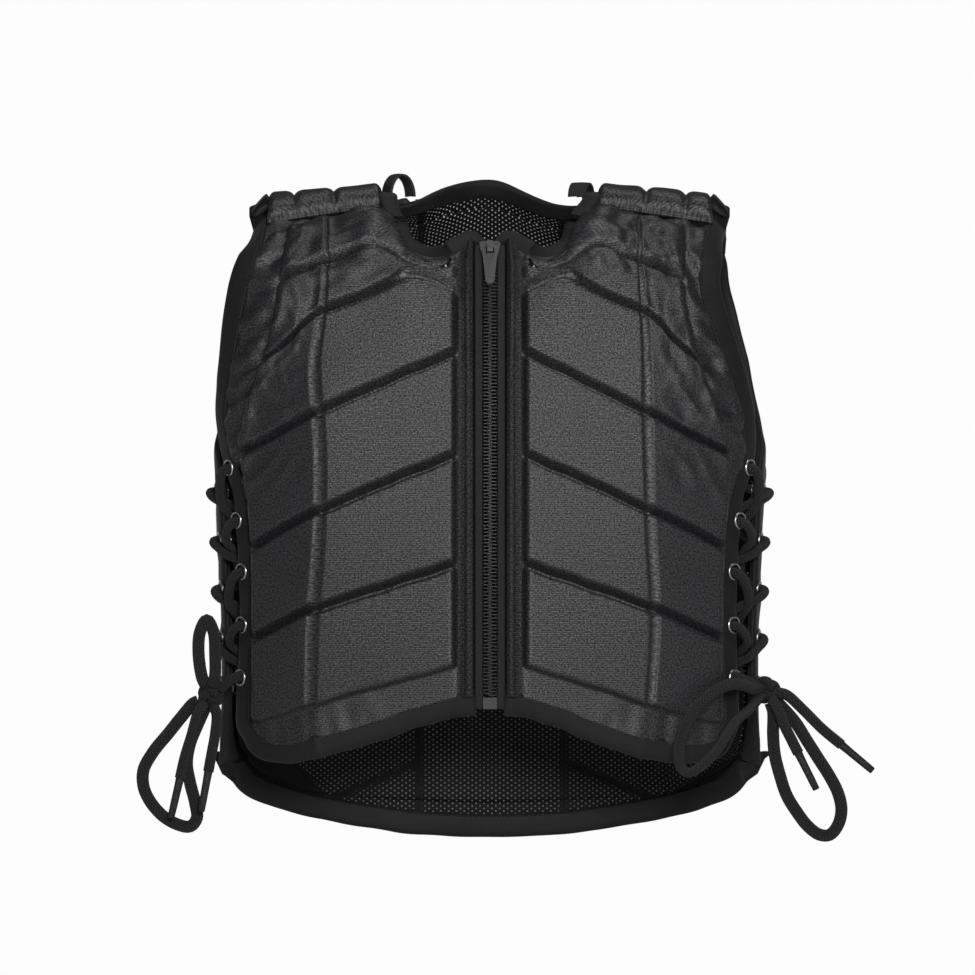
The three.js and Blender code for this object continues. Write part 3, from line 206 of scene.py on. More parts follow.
braid = braid_material()
aglet_sleeve = aglet_material()
LACE_FLAT_WIDTH = 7.4
LACE_FLAT_DEPTH = 5.2
KNOT_RADIUS = 9
KNOTS = {"left": (-168, -38, -289), "right": (166, -38, -285)}
BOW_ROUTES = {
    "left": {
        "loop_a": [(-173, -43, -277), (-175, -43, -262), (-174, -43, -250), (-170, -43, -243),
                   (-166, -44, -250), (-165, -45, -264), (-165, -47, -276)],
        "loop_b": [(-178, -39, -293), (-185, -40, -301), (-193, -41, -311), (-202, -41, -322),
                   (-208, -41, -333), (-208, -41, -343), (-204, -41, -352), (-196, -41, -361),
                   (-187, -41, -366), (-180, -41, -367), (-176, -41, -362), (-177, -41, -353),
                   (-180, -41, -341), (-182, -41, -329), (-180, -41, -317), (-176, -40, -307)],
        "tail_a": [(-175, -50, -298), (-179, -51, -312), (-183, -51, -325), (-186, -51, -338)],
        "tail_b": [(-164, -48, -300), (-165, -50, -312), (-167, -50, -323), (-169, -50, -334)],
    },
    "right": {
        "loop_a": [(158, -53, -284), (148, -62, -281), (137, -70, -284), (128, -76, -291),
                   (120, -80, -301), (115, -82, -312), (113, -82, -322), (114, -83, -330),
                   (118, -85, -334), (124, -86, -332), (131, -85, -326), (137, -82, -319),
                   (142, -77, -311), (148, -69, -303), (156, -57, -296)],
        "loop_b": [(170, -38, -298), (170, -39, -312), (171, -40, -324), (174, -40, -336),
                   (178, -40, -348), (184, -40, -358), (191, -40, -367), (198, -40, -372),
                   (204, -40, -372), (209, -40, -366), (211, -40, -357), (209, -40, -347),
                   (204, -40, -337), (197, -40, -326), (190, -40, -315), (183, -39, -304)],
        "tail_a": [(178, -45, -288), (188, -49, -297), (199, -51, -308), (211, -51, -318)],
        "tail_b": [(173, -48, -297), (177, -50, -307), (181, -50, -315), (185, -50, -323)],
    },
}
AGLET_LENGTH = 24


def knot_mesh(side):
    """A tied lump: the cord wound through itself, drawn tight round a middle wrap."""
    centre = np.array(KNOTS[side], float)
    turns = []
    for step in range(121):
        angle = 2 * np.pi * step / 120
        ring = 4.2 + 1.9 * math.cos(3 * angle)
        turns.append((ring * math.cos(2 * angle), 3.1 * math.sin(3 * angle), ring * math.sin(2 * angle)))
    lump = tube(f"lace_knot_{side}_cord", np.array(turns) + centre, 5.2, 5.2, 14)
    lump.data.materials.append(braid)
    return lump


for side, routes in BOW_ROUTES.items():
    knot = np.array(KNOTS[side], float)
    lump = knot_mesh(side)
    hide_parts(f"lace_knot_{side}")
    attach(lump, "vest")
    for name, points in routes.items():
        points = np.array(points, float)
        start = knot + unit(points[0] - knot) * (KNOT_RADIUS - 1)
        end = [knot + unit(points[-1] - knot) * (KNOT_RADIUS - 1)] if "loop" in name else []
        path = route([start, *points, *end], 1.6)
        width = LACE_FLAT_WIDTH if "loop" in name else 6.6
        cord = tube(f"bow_{name}_{side}_cord", path, width, LACE_FLAT_DEPTH)
        cord.data.materials.append(braid)
        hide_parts(f"bow_{name}_{side}")
        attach(cord, "vest")
        parts = [lump] if name == "loop_a" else []
        if "tail" in name:
            way = unit(points[-1] - points[-2])
            sleeve = [points[-1] + way * at for at in (-1.5, -0.5, 0, 6, 12, 18, AGLET_LENGTH, AGLET_LENGTH + 0.4)]
            widths = [4.9, 5.2, 5.1, 4.7, 4.6, 4.5, 4.2, 3.0]
            aglet = tube(f"aglet_{name[-1]}_{side}_sleeve", sleeve, widths, np.array(widths) * 0.86, 16)
            aglet.data.materials.append(aglet_sleeve)
            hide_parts(f"aglet_{name[-1]}_{side}")
            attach(aglet, "vest")
            parts.append(aglet)


# ---- Front panels ----
# Two padded halves: closed-cell foam blocks behind dark polyester twill, held apart by stitched
# grooves. The outer cloth is loose over the shoulder and beside the armhole, where it puckers.
HALF_WIDTH = 165
FRONT_DEPTH = 86
BACK_DEPTH = 82
FRONT_LENGTH = 318
BACK_LENGTH = 364
RIDGE_HEIGHT = 6
SHOULDER_RADIUS = 60
SHOULDER_DROP = 7
SIDE_ROUNDNESS = 2.4
TILE_HEIGHT = 9
EDGE_THICKNESS = 5
GROOVE_WIDTH = 6
ZIP_EDGE = 9.3
TILE_START = 23
TILE_FOOT = 20.5
BEVEL = 6
PAD_NECK_SIDE = 0.385
TORSO = {
    "down": [-0.05, 0.03, 0.08, 0.137, 0.25, 0.385, 0.55, 0.69, 0.82, 0.93, 1.06],
    "width": [1.24, 1.2, 1.15, 1.1, 1.045, 1.005, 0.99, 0.976, 0.976, 0.988, 0.99],
    "front": [0.2, 0.56, 0.7, 0.81, 0.92, 0.98, 1.0, 0.98, 0.93, 0.9, 0.88],
    "back": [0.22, 0.58, 0.76, 0.87, 0.98, 1.0, 0.98, 0.965, 0.975, 0.965, 0.94],
}
FRONT_REACH = {
    "down": [-0.02, 0.05, 0.12, 0.19, 0.29, 0.38, 0.44, 0.5, 0.6, 0.76, 0.88, 1.03],
    "crease_left": [0.585, 0.585, 0.59, 0.6, 0.62, 0.608, 0.6, 0.6, 0.603, 0.625, 0.632, 0.64],
    "crease_right": [0.53, 0.535, 0.54, 0.55, 0.557, 0.557, 0.56, 0.563, 0.567, 0.583, 0.57, 0.56],
    "end_left": [0.72, 0.745, 0.76, 0.775, 0.835, 0.885, 0.895, 0.878, 0.858, 0.85, 0.85, 0.845],
    "end_right": [0.7, 0.71, 0.7, 0.715, 0.765, 0.825, 0.862, 0.862, 0.845, 0.835, 0.832, 0.832],
    "edge_left": [0.81, 0.85, 0.892, 0.918, 0.95, 0.97, 0.954, 0.912, 0.882, 0.872, 0.882, 0.89],
    "edge_right": [0.81, 0.785, 0.775, 0.805, 0.875, 0.922, 0.94, 0.9, 0.865, 0.855, 0.86, 0.87],
}
FRONT_LINES = {
    "name": ["top", "under", "shoulder", "first", "second", "third", "fourth", "fifth", "hem"],
    "zip": [0.044, 0.052, 0.09, 0.157, 0.262, 0.456, 0.663, 0.852, 0.909],
    "start": [0.07, 0.078, 0.096, 0.148, 0.281, 0.472, 0.676, 0.864, 0.913],
    "a": [0.078, 0.086, 0.104, 0.133, 0.3, 0.49, 0.691, 0.877, 0.925],
    "b": [0.06, 0.07, 0.096, 0.128, 0.318, 0.506, 0.704, 0.889, 0.938],
    "c": [0.0, 0.018, 0.08, 0.142, 0.334, 0.52, 0.716, 0.899, 0.952],
    "d": [-0.0165, -0.002, 0.067, 0.156, 0.347, 0.532, 0.725, 0.907, 0.962],
    "crease": [-0.0165, 0.006, 0.093, 0.19, 0.387, 0.572, 0.757, 0.937, 0.99],
    "middle": [-0.0165, 0.013, 0.112, 0.238, 0.428, 0.607, 0.786, 0.956, 1.0],
    "end": [-0.0165, 0.013, 0.128, 0.283, 0.468, 0.645, 0.815, 0.962, 0.985],
    "edge": [-0.0165, 0.013, 0.14, 0.3, 0.478, 0.65, 0.82, 0.93, 0.955],
}
FIRST_COLUMN = {"a": 0.17, "b": 0.36, "c": 0.49, "d": 0.62}
FRONT_COLUMNS = ["zip", "flange", "start", "a", "b", "c", "d", "inner", "crease", "outer", "middle",
                 "end", "foot", "edge"]
# line, shift in grooves, share of the way to the next line, and which row of FULLNESS it takes
FRONT_ROWS = [(0, 0, 0, 0), (1, 0, 0, 0), (1, 0, 0.5, 0), (2, -0.5, 0, 0), (2, 0, 0, 1), (2, 0.5, 0, 1),
              (3, -0.5, 0, 1), (3, 0, 0, 2), (3, 0.5, 0, 2), (3, 0, 0.5, 2)] + [
    (line, shift, 0, 2) for line in (4, 5, 6) for shift in (-0.5, 0, 0.5)] + [
    (7, -0.5, 0, 2), (7, 0, 0, 2), (8, 0, 0, 2)]
FULLNESS = [
    [0, 0.3, 0.3, 0.35, 0.5, 0.6, 0.8, 0.9, 1, 0.9, 1, 0.8, 0.8, 0.8],
    [0, 0.3, 0.35, 0.5, 0.75, 0.95, 1, 1, 1, 0.9, 1, 0.9, 0.9, 0.9],
    [1] * 14,
]


def mix(first, second, share):
    return first + (second - first) * share


def smooth(low, high, value):
    share = np.clip((np.asarray(value, float) - low) / (high - low), 0, 1)
    return share * share * (3 - 2 * share)


def read_table(table, column, place, key="down"):
    """Values of a column of a table at given places, on a smooth curve through its rows."""
    keys, values = np.array(table[key], float), np.array(table[column], float)
    slopes = np.empty(len(keys))
    slopes[1:-1] = (values[2:] - values[:-2]) / (keys[2:] - keys[:-2])
    slopes[0] = (values[1] - values[0]) / (keys[1] - keys[0])
    slopes[-1] = (values[-1] - values[-2]) / (keys[-1] - keys[-2])
    place = np.clip(place, keys[0], keys[-1])
    row = np.clip(np.searchsorted(keys, place) - 1, 0, len(keys) - 2)
    span = keys[row + 1] - keys[row]
    t = (place - keys[row]) / span
    a, b, start, end = values[row], values[row + 1], slopes[row] * span, slopes[row + 1] * span
    return a + start * t + (3 * (b - a) - 2 * start - end) * t ** 2 + (2 * (a - b) + start + end) * t ** 3


def arch_depth(height):
    return np.sqrt(2 * SHOULDER_RADIUS * np.maximum(0, RIDGE_HEIGHT - height))


def half_width(height):
    return HALF_WIDTH * read_table(TORSO, "width", -height / BACK_LENGTH)


def front_depth(height):
    table = FRONT_DEPTH * read_table(TORSO, "front", -height / BACK_LENGTH)
    return mix(table, arch_depth(height), smooth(-36, -12, height))


def drop_at(x, height):
    outwards = np.clip((np.abs(x) / HALF_WIDTH - PAD_NECK_SIDE) / (0.9 - PAD_NECK_SIDE), 0, 1)
    return SHOULDER_DROP * outwards * smooth(-60, 0, height)


def section_share(x, width):
    return (1 - np.minimum(1, np.abs(x) / width) ** SIDE_ROUNDNESS) ** (1 / SIDE_ROUNDNESS)


def front_skin(x, height):
    x, height = np.broadcast_arrays(np.asarray(x, float), np.asarray(height, float))
    return np.stack([x, -front_depth(height) * section_share(x, half_width(height)),
                     height - drop_at(x, height)], axis=-1)


def front_point(x, height, lift):
    """A place on the front, moved out of it by lift."""
    across = front_skin(x + 0.5, height) - front_skin(x - 0.5, height)
    upwards = front_skin(x, height + 0.5) - front_skin(x, height - 0.5)
    return front_skin(x, height) + unit(np.cross(across, upwards)) * np.asarray(lift, float)[..., None]


def resample(net, spacing):
    """Adds rows to a net of points, on smooth curves through its own; also says where those are."""
    gaps = np.maximum(np.linalg.norm(np.diff(net[..., :3], axis=0), axis=-1, keepdims=True), 1e-6)
    slopes = np.diff(net, axis=0) / gaps
    inner = (slopes[:-1] * gaps[1:] + slopes[1:] * gaps[:-1]) / (gaps[:-1] + gaps[1:])
    tangents = np.concatenate([slopes[:1], inner, slopes[-1:]])
    steps = [max(1, round(float(gap.mean()) / spacing)) for gap in gaps]
    found = [net[:1]]
    for at, count in enumerate(steps):
        t = (np.arange(1, count + 1) / count)[:, None, None]
        a, b, start, end = net[at], net[at + 1], tangents[at] * gaps[at], tangents[at + 1] * gaps[at]
        found.append(a + start * t + (3 * (b - a) - 2 * start - end) * t ** 2
                     + (2 * (a - b) + start + end) * t ** 3)
    return np.concatenate(found), np.concatenate([[0], np.cumsum(steps)])


def fine_net(net, row_spacing, column_spacing):
    net, rows = resample(net, row_spacing)
    turned, columns = resample(net.transpose(1, 0, 2), column_spacing)
    return turned.transpose(1, 0, 2), rows, columns


def run(net, axis):
    """Distance along a net's rows (axis 1) or columns (axis 0), in millimetres."""
    gaps = np.linalg.norm(np.diff(net, axis=axis), axis=-1)
    first = np.zeros_like(gaps.take([0], axis))
    return np.concatenate([first, np.cumsum(gaps, axis=axis)], axis=axis)


def outward(net, centre):
    normals = unit(np.cross(np.gradient(net, axis=1), np.gradient(net, axis=0)))
    away = net - np.array(centre, float)
    return normals * np.sign((normals * away).sum(axis=-1).mean())


def plump(distance, low, reach):
    """Height of padding beside a seam, as a share: low at the seam, round at its shoulder."""
    rise = 1 - np.clip(distance / reach, 0, 1)
    return low + (1 - low) * np.sqrt(1 - rise ** 2)


def ripples(u, v, size, seed, stretch=1.0, count=9):
    """Smooth uneven waves about so long, the same every time; stretch draws them out along v."""
    chance = np.random.default_rng(seed)
    total = 0
    for _ in range(count):
        angle, phase = chance.uniform(0, 2 * np.pi, 2)
        length = size * chance.uniform(0.7, 1.6)
        total = total + np.sin(2 * np.pi * (u * np.cos(angle) + v * np.sin(angle) / stretch) / length + phase)
    return total / count ** 0.5


def sheet_mesh(name, outer, inner, u, v, materials, inner_material=0):
    """A closed padded sheet between two nets of points."""
    rows, columns = outer.shape[:2]
    index = np.arange(rows * columns).reshape(rows, columns)
    a, b, c, d = index[:-1, :-1], index[1:, :-1], index[1:, 1:], index[:-1, 1:]
    front = np.stack([a, b, c, d], axis=-1).reshape(-1, 4)
    rim = np.concatenate([index[0, :-1], index[:-1, -1], index[-1, :0:-1], index[:0:-1, 0]])
    after = np.roll(rim, -1)
    under = rows * columns
    back = front[:, ::-1] + under
    side = np.stack([rim, after, after + under, rim + under], axis=-1)
    points = np.concatenate([outer.reshape(-1, 3), inner.reshape(-1, 3)])
    faces = np.concatenate([front, back, side])
    corners = points[faces]
    volume = (np.cross(corners[:, 0], corners[:, 1]) * corners[:, 2]).sum() \
        + (np.cross(corners[:, 0], corners[:, 2]) * corners[:, 3]).sum()
    if volume < 0:
        faces = faces[:, ::-1]
    uv = np.stack([u, v], axis=-1).reshape(-1, 2) * 0.001
    which = np.concatenate([np.zeros(len(front), int), np.full(len(back), inner_material),
                            np.zeros(len(side), int)])
    return make_mesh(name, points, faces.tolist(), np.concatenate([uv, uv]), True, materials, which)


# Dark grey polyester twill with a fine cross rib: matt, with a slight sheen, a little uneven.
def twill_material(name, base, light, stitch_lines=(), flange=0.0, rib=0.0011):
    made, tree = new_material(name)
    uv = add(tree, "UVMap").outputs[0]
    parts = add(tree, "SeparateXYZ", {0: uv})
    across, along = parts.outputs[0], parts.outputs[1]
    uneven = add(tree, "TexNoise", {"Vector": uv, "Scale": 900.0, "Detail": 3.0})
    patches = add(tree, "TexNoise", {"Vector": uv, "Scale": 22.0, "Detail": 4.0})
    wobble = maths(tree, "MULTIPLY", uneven.outputs[0], 1.6)
    ribs = maths(tree, "SINE", maths(tree, "ADD", maths(tree, "MULTIPLY", along, 2 * math.pi / rib), wobble))
    threads = maths(tree, "SINE", maths(tree, "MULTIPLY", maths(tree, "ADD", across, along), 2 * math.pi / 0.0007))
    weave = maths(tree, "ADD", maths(tree, "MULTIPLY", ribs, 0.5), maths(tree, "MULTIPLY", threads, 0.3))
    weave = maths(tree, "ADD", weave, maths(tree, "MULTIPLY", uneven.outputs[0], 0.9))
    grain = add(tree, "MapRange", {0: uneven.outputs[0], 1: 0.36, 2: 0.66}).outputs[0]
    tone = maths(tree, "ADD", maths(tree, "MULTIPLY", weave, 0.12), maths(tree, "MULTIPLY", patches.outputs[0], 0.25))
    tone = maths(tree, "ADD", tone, maths(tree, "MULTIPLY", grain, 0.6))
    colour = add(tree, "Mix", {"Factor": tone, 6: linear(base), 7: linear(light)}, data_type="RGBA").outputs[2]
    height = weave
    for line in stitch_lines:
        near = add(tree, "MapRange", {0: maths(tree, "ABSOLUTE", maths(tree, "SUBTRACT", across, line)),
                                      1: 0.0003, 2: 0.0009, 3: 1.0, 4: 0.0}).outputs[0]
        dash = add(tree, "MapRange", {0: maths(tree, "PINGPONG", along, 0.0016), 1: 0.0003, 2: 0.0006}).outputs[0]
        thread = maths(tree, "MULTIPLY", near, dash)
        colour = add(tree, "Mix", {"Factor": maths(tree, "MULTIPLY", near, 0.75), 6: colour,
                                   7: linear("#0c0c0d")}, data_type="RGBA").outputs[2]
        height = maths(tree, "ADD", height, maths(tree, "MULTIPLY", thread, 2.0))
        height = maths(tree, "SUBTRACT", height, maths(tree, "MULTIPLY", near, 2.5))
    # the folded edge beside the zip is painted darker, as painted shade for its recessed, turned place, and given less
    # shine
    outside_flange_shade = add(tree, "MapRange", {0: across, 1: flange - 0.0005, 2: flange + 0.0005}).outputs[0]
    colour = add(tree, "Mix", {"Factor": outside_flange_shade, 6: linear("#0f0f10"), 7: colour}, data_type="RGBA").outputs[2]
    rough = maths(tree, "ADD", maths(tree, "MULTIPLY", patches.outputs[0], 0.08), 0.41)
    shine = maths(tree, "ADD", maths(tree, "MULTIPLY", grain, 0.8), 0.25)
    shine = maths(tree, "MULTIPLY", shine, maths(tree, "ADD", maths(tree, "MULTIPLY", outside_flange_shade, 0.5), 0.5))
    surface(tree, {"Base Color": colour, "Roughness": rough, "Specular IOR Level": shine}, height, 0.00022, 0.38)
    return made


# Black mesh over dark foam: warp-knitted polyester with small staggered holes.
def hole_mesh_material():
    made, tree = new_material("warp_knit_hole_mesh")
    uv = add(tree, "UVMap").outputs[0]
    parts = add(tree, "SeparateXYZ", {0: uv})
    column = maths(tree, "DIVIDE", parts.outputs[0], 0.0024)
    number = maths(tree, "FLOOR", maths(tree, "ADD", column, 400))
    odd = maths(tree, "MULTIPLY", maths(tree, "MODULO", number, 2), 0.5)
    row = maths(tree, "ADD", maths(tree, "DIVIDE", parts.outputs[1], 0.0031), odd)
    in_column = maths(tree, "MULTIPLY", maths(tree, "SUBTRACT", maths(tree, "FRACT", column), 0.5), 2.4)
    in_row = maths(tree, "MULTIPLY", maths(tree, "SUBTRACT", maths(tree, "FRACT", row), 0.5), 3.1)
    squared = maths(tree, "ADD", maths(tree, "POWER", in_column, 2.0), maths(tree, "POWER", in_row, 2.0))
    distance = maths(tree, "SQRT", squared)
    hole = add(tree, "MapRange", {0: distance, 1: 0.36, 2: 0.62, 3: 1.0, 4: 0.0}).outputs[0]
    knit = add(tree, "TexNoise", {"Vector": uv, "Scale": 1500.0, "Detail": 2.0})
    patches = add(tree, "TexNoise", {"Vector": uv, "Scale": 30.0, "Detail": 3.0})
    yarn = add(tree, "Mix", {"Factor": knit.outputs[0], 6: linear("#080809"), 7: linear("#19191a")}, data_type="RGBA")
    plain = add(tree, "Attribute", attribute_name="plain").outputs["Fac"]
    hole = maths(tree, "MULTIPLY", hole, maths(tree, "SUBTRACT", 1.0, plain))
    shown = maths(tree, "MULTIPLY", hole, maths(tree, "ADD", maths(tree, "MULTIPLY", patches.outputs[0], 0.9), 0.25))
    # at the neck no foam lies behind the mesh, so its holes are painted near-white there: painted light standing in
    # for the lit pale surround seen through them
    place = add(tree, "SeparateXYZ", {0: add(tree, "NewGeometry").outputs["Position"]})
    neck_painted_light = add(tree, "MapRange", {0: place.outputs[2], 1: -0.045, 2: -0.03}).outputs[0]
    hole_colour = add(tree, "Mix", {"Factor": neck_painted_light, 6: linear("#8c8c8c"), 7: linear("#ececec")},
                      data_type="RGBA")
    colour = add(tree, "Mix", {"Factor": shown, 6: yarn.outputs[2], 7: hole_colour.outputs[2]}, data_type="RGBA")
    height = maths(tree, "SUBTRACT", maths(tree, "MULTIPLY", knit.outputs[0], 0.4), hole)
    surface(tree, {"Base Color": colour.outputs[2], "Roughness": 0.7, "Specular IOR Level": 0.15}, height, 0.0003)
    return made


hole_mesh = hole_mesh_material()
front_twill = twill_material("stitched_polyester_twill", "#0c0c0d", "#302f33", (0.0022, 0.0062), 0.0108)
back_twill = twill_material("polyester_twill", "#0c0c0d", "#302f33", (), -10.0)


def front_reach(column, down, side):
    crease, end, edge = (HALF_WIDTH * read_table(FRONT_REACH, f"{name}_{side}", down)
                         for name in ("crease", "end", "edge"))
    if column in FIRST_COLUMN:
        return mix(TILE_START, crease, FIRST_COLUMN[column])
    foot = mix(end, edge, min(0.5, 3 / (edge - end)))
    return {"zip": ZIP_EDGE, "flange": TILE_START - 3.5, "start": TILE_START, "inner": crease - GROOVE_WIDTH / 2,
            "crease": crease, "outer": crease + GROOVE_WIDTH / 2, "middle": mix(crease, end, 0.5),
            "end": end, "foot": foot, "edge": edge}[column]


def front_line_down(line, column):
    between = {"flange": ("zip", "start", 0.75), "inner": ("d", "crease", 0.9),
               "outer": ("crease", "middle", 0.12), "foot": ("end", "edge", 0.5)}
    if column in between:
        first, second, share = between[column]
        return mix(FRONT_LINES[first][line], FRONT_LINES[second][line], share)
    return FRONT_LINES[column][line]


def front_net(side):
    rows = []
    for line, shift, towards, fullness in FRONT_ROWS:
        row = []
        for at, column in enumerate(FRONT_COLUMNS):
            down = front_line_down(line, column)
            if towards:
                down = mix(down, front_line_down(line + 1, column), towards)
            height = -down * FRONT_LENGTH - shift * GROOVE_WIDTH
            x = front_reach(column, -height / FRONT_LENGTH, side) * (-1 if side == "left" else 1)
            row.append([x, height, 0, FULLNESS[fullness][at]])
        rows.append(row)
    return np.array(rows)


TILE_GROOVES = [4, 7, 10, 13, 16]
panel_edges = {}
for side in ("left", "right"):
    places, rows, columns = fine_net(front_net(side), 1.25, 1.35)
    x, fullness = places[..., 0], places[..., 3]
    net = front_skin(x, places[..., 1])
    start, crease, end = (columns[FRONT_COLUMNS.index(name)] for name in ("start", "crease", "end"))
    # the foam blocks are flat, so the cloth over each column runs straight from seam to seam
    # the left fold stands further forward, so its outer column turns away more
    forward = (4.5 if side == "left" else 0) * smooth(-70, -130, net[:, [crease], 2])
    curved = net[..., 1].copy()
    for low, high in ((start, crease), (crease, end)):
        share = (x[:, low:high + 1] - x[:, [low]]) / (x[:, [high]] - x[:, [low]])
        straight = mix(curved[:, [low]], curved[:, [high]], share)
        net[:, low:high + 1, 1] = mix(curved[:, low:high + 1], straight, 0.85) \
            - forward * (share if high == crease else 1 - share)
    u, v = run(net, 1), -run(net, 0)
    v = v - v[[rows[13]]] + net[[rows[13]], :, 2]
    normals = outward(net, (0, 0, -150))
    beside_crease = np.abs(u - u[:, [crease]])
    from_start = np.abs(x) - TILE_FOOT
    to_end = u[:, [end]] - u
    across = np.minimum(plump(beside_crease, 0.4, 1.9), plump(np.maximum(from_start, 0), 0.05, 2.4))
    across = np.minimum(across, plump(np.maximum(to_end, 0), 0.12, 5))
    across = np.where(from_start < 0, 0.05, across)
    outside = np.maximum(-to_end, 0) / np.maximum(u[:, [-1]] - u[:, [end]], 1)
    across = np.where(to_end < 0, 0.12 * (1 - outside), across)
    above = np.stack([v - v[[row]] for row in rows[TILE_GROOVES]])
    beside_groove = np.abs(above).min(axis=0)
    # under each block the cloth slopes in to the seam, and the next block starts with a sharp edge
    slope = 0.04 + 0.96 * np.where(above < 0, 1, np.clip(above / BEVEL, 0, 1)).min(axis=0)
    edge = plump(np.where(above > 0, 99, -above).min(axis=0), 0.04, 1.6)
    last = v[[rows[19]]]
    along = np.minimum(np.minimum(slope, edge), plump(np.maximum(v - last, 0), 0.1, 4))
    along = np.minimum(along, plump(np.maximum(v[[rows[1]]] - v, 0), 0.05, 9))
    along = np.where(v < last, 0.1, along)
    filled = np.clip(1 - np.hypot(1 - across, 1 - along), 0, 1)
    filled = np.where((from_start < 0) | (to_end < 0) | (v < last), np.minimum(across, along), filled)
    inside = np.minimum(np.minimum(beside_crease, np.maximum(from_start, 0)),
                        np.minimum(np.maximum(to_end, 0), np.maximum(beside_groove, 0)))
    crown = 0.5 * (1 - np.exp(-inside / 16))
    # loose cloth: the outer part above the third groove, more towards the armhole
    loose = smooth(0, 25, u - u[:, [crease]]) * smooth(-200, -120, net[..., 2]) * (0.35 + 0.65 * smooth(
        -20, 12, -to_end))
    folds = ripples(u + 0.5 * v, v, 22, 11 if side == "left" else 12, 1.6)
    folds = (1.0 - np.abs(folds)) * 2.8 + ripples(u, v, 9, 13, 1.4) * 0.7
    folds = loose * folds
    top = smooth(-62, -20, net[..., 2]) * smooth(30, 75, u)
    folds = folds + top * ripples(u, v, 16, 21 if side == "left" else 22, 0.8) * 1.1
    hem = smooth(8, -2, v - last) * smooth(0.3, 0.8, np.abs(net[..., 0]) / 120)
    folds = folds + hem * ripples(u, v, 14, 5, 2.0) * 0.4
    near_groove = np.exp(-beside_groove / 3.5) * (beside_groove > 0)
    pucker = near_groove * ripples(u, v * 0.2, 7, 31) * 0.28
    rolled = 1.3 * np.exp(-((u - 3.5) / 3.2) ** 2) * smooth(0, 2, u)
    lift = TILE_HEIGHT * filled * fullness + rolled + (crown * fullness + folds + pucker) * smooth(0, 3, u) \
        * smooth(0, 3, u[:, [-1]] - u)
    outer = net + normals * lift[..., None]
    inner = net - normals * EDGE_THICKNESS
    panel = sheet_mesh(f"front_panel_{side}_cloth", outer, inner, u, v, [front_twill, hole_mesh], 1)
    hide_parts(f"front_panel_{side}")
    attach(panel, "vest")
    panel_edges[f"front_{side}"] = (net, normals, columns)


# ---- Back panel ----
# One padded back with a long rounded tail, made like the front: foam blocks behind the twill. Its
# inner face is the black hole mesh, with plain dark cloth at the tail's corners.
MESH_SEAMS = [((-44, 10), (-44, -370)), ((45, 10), (45, -370)), ((-46, -331), (-96, -351)),
              ((45, -329), (101, -352)), ((-46, -262), (-150, -290)), ((45, -262), (150, -290)),
              ((-46, -195), (-150, -222)), ((45, -195), (150, -222)), ((-46, -128), (-150, -155)),
              ((45, -128), (150, -155)), ((-46, -60), (-135, -84)), ((45, -60), (135, -84))]
# ends of the seams that part the plain corners from the mesh
TAIL_CORNERS = [((-96, -354), (-123, -327)), ((105, -351), (150, -327))]
BACK_LINES = {
    "crease": [0.16, 0.345, 0.53, 0.715, 0.9],
    "second": [0.22, 0.405, 0.59, 0.775, 0.925],
    "edge": [0.25, 0.41, 0.615, 0.79, 0.86],
}
TAIL_EDGE = {"down": [0, 0.27, 0.37, 0.62, 0.79, 0.93, 1], "edge": [1, 0.995, 0.989, 0.97, 0.95, 0.924, 0.896]}
BACK_ARMHOLE = {"down": [-0.02, 0.03, 0.125, 0.275], "reach": [0.8, 0.8, 0.825, 0.91]}
BACK_SIDE = {
    "down": [0.2, 0.275, 0.35, 0.4, 0.44, 0.6, 0.75, 0.79, 0.82, 0.85, 0.875, 0.896],
    "angle": [72, 73, 78, 88, 93.5, 94, 93, 91, 89, 86, 83, 79],
}
BACK_NECK = {
    "down": [-0.36, -0.27, -0.18, -0.1, 0, 0.1, 0.2, 0.29, 0.36],
    "up": [0.018, 0.02, 0.042, 0.054, 0.043, 0.028, 0.016, 0.01, 0.014],
}
FIRST_CREASE = 0.27
SECOND_CREASE = 0.627
# at: share of the half width; round: share of the way from the second crease to the side edge
BACK_COLUMNS = [("at", 0), ("first", -0.5), ("first", 0), ("first", 0.5), ("at", 0.37), ("second", -0.5),
                ("second", 0), ("second", 0.5), ("round", 0.42), ("round", 0.8), ("round", 0.9), ("round", 1)]
PAD_ENDS = {"front": (0.27, 0.47), "back": (0.24, 0.6)}
PAD_ARM_SIDE = 0.81
GAP = 0.3


def back_depth(height):
    table = BACK_DEPTH * read_table(TORSO, "back", -height / BACK_LENGTH)
    return mix(table, arch_depth(height), smooth(-36, -12, height))


def back_middle_skin(x, height):
    collar = mix(back_depth(height), BACK_DEPTH * (0.61 - 2.2 * height / BACK_LENGTH), smooth(-50, -12, height))
    depth = mix(collar, back_depth(height), smooth(0.08 * HALF_WIDTH, 0.4 * HALF_WIDTH, abs(x)))
    return [x, depth * section_share(x, half_width(height)), height - drop_at(x, height)]


def back_side_skin(angle, height):
    across, along = math.sin(math.radians(angle)), math.cos(math.radians(angle))
    depth = max(1, back_depth(height)) if along >= 0 else front_depth(height)
    reach = ((abs(across) / half_width(height)) ** SIDE_ROUNDNESS
             + (abs(along) / depth) ** SIDE_ROUNDNESS) ** (-1 / SIDE_ROUNDNESS)
    x = reach * across
    return [x, reach * along, height - drop_at(x, height)]


def back_angle(x, height):
    low, high = 0, 90
    for _ in range(24):
        middle = (low + high) / 2
        low, high = (middle, high) if back_side_skin(middle, height)[0] < abs(x) else (low, middle)
    return low * (1 if x >= 0 else -1)


def pad_depth(x, end):
    share = (np.abs(x) / HALF_WIDTH - PAD_NECK_SIDE) / (PAD_ARM_SIDE - PAD_NECK_SIDE)
    return SHOULDER_RADIUS * mix(*PAD_ENDS[end], np.clip(share, 0, 1))


def back_top(x):
    if abs(x) / HALF_WIDTH < PAD_NECK_SIDE - 0.04:
        return BACK_LENGTH * read_table(BACK_NECK, "up", x / HALF_WIDTH)
    return RIDGE_HEIGHT - (pad_depth(x, "back") + 2 * GAP) ** 2 / (2 * SHOULDER_RADIUS)


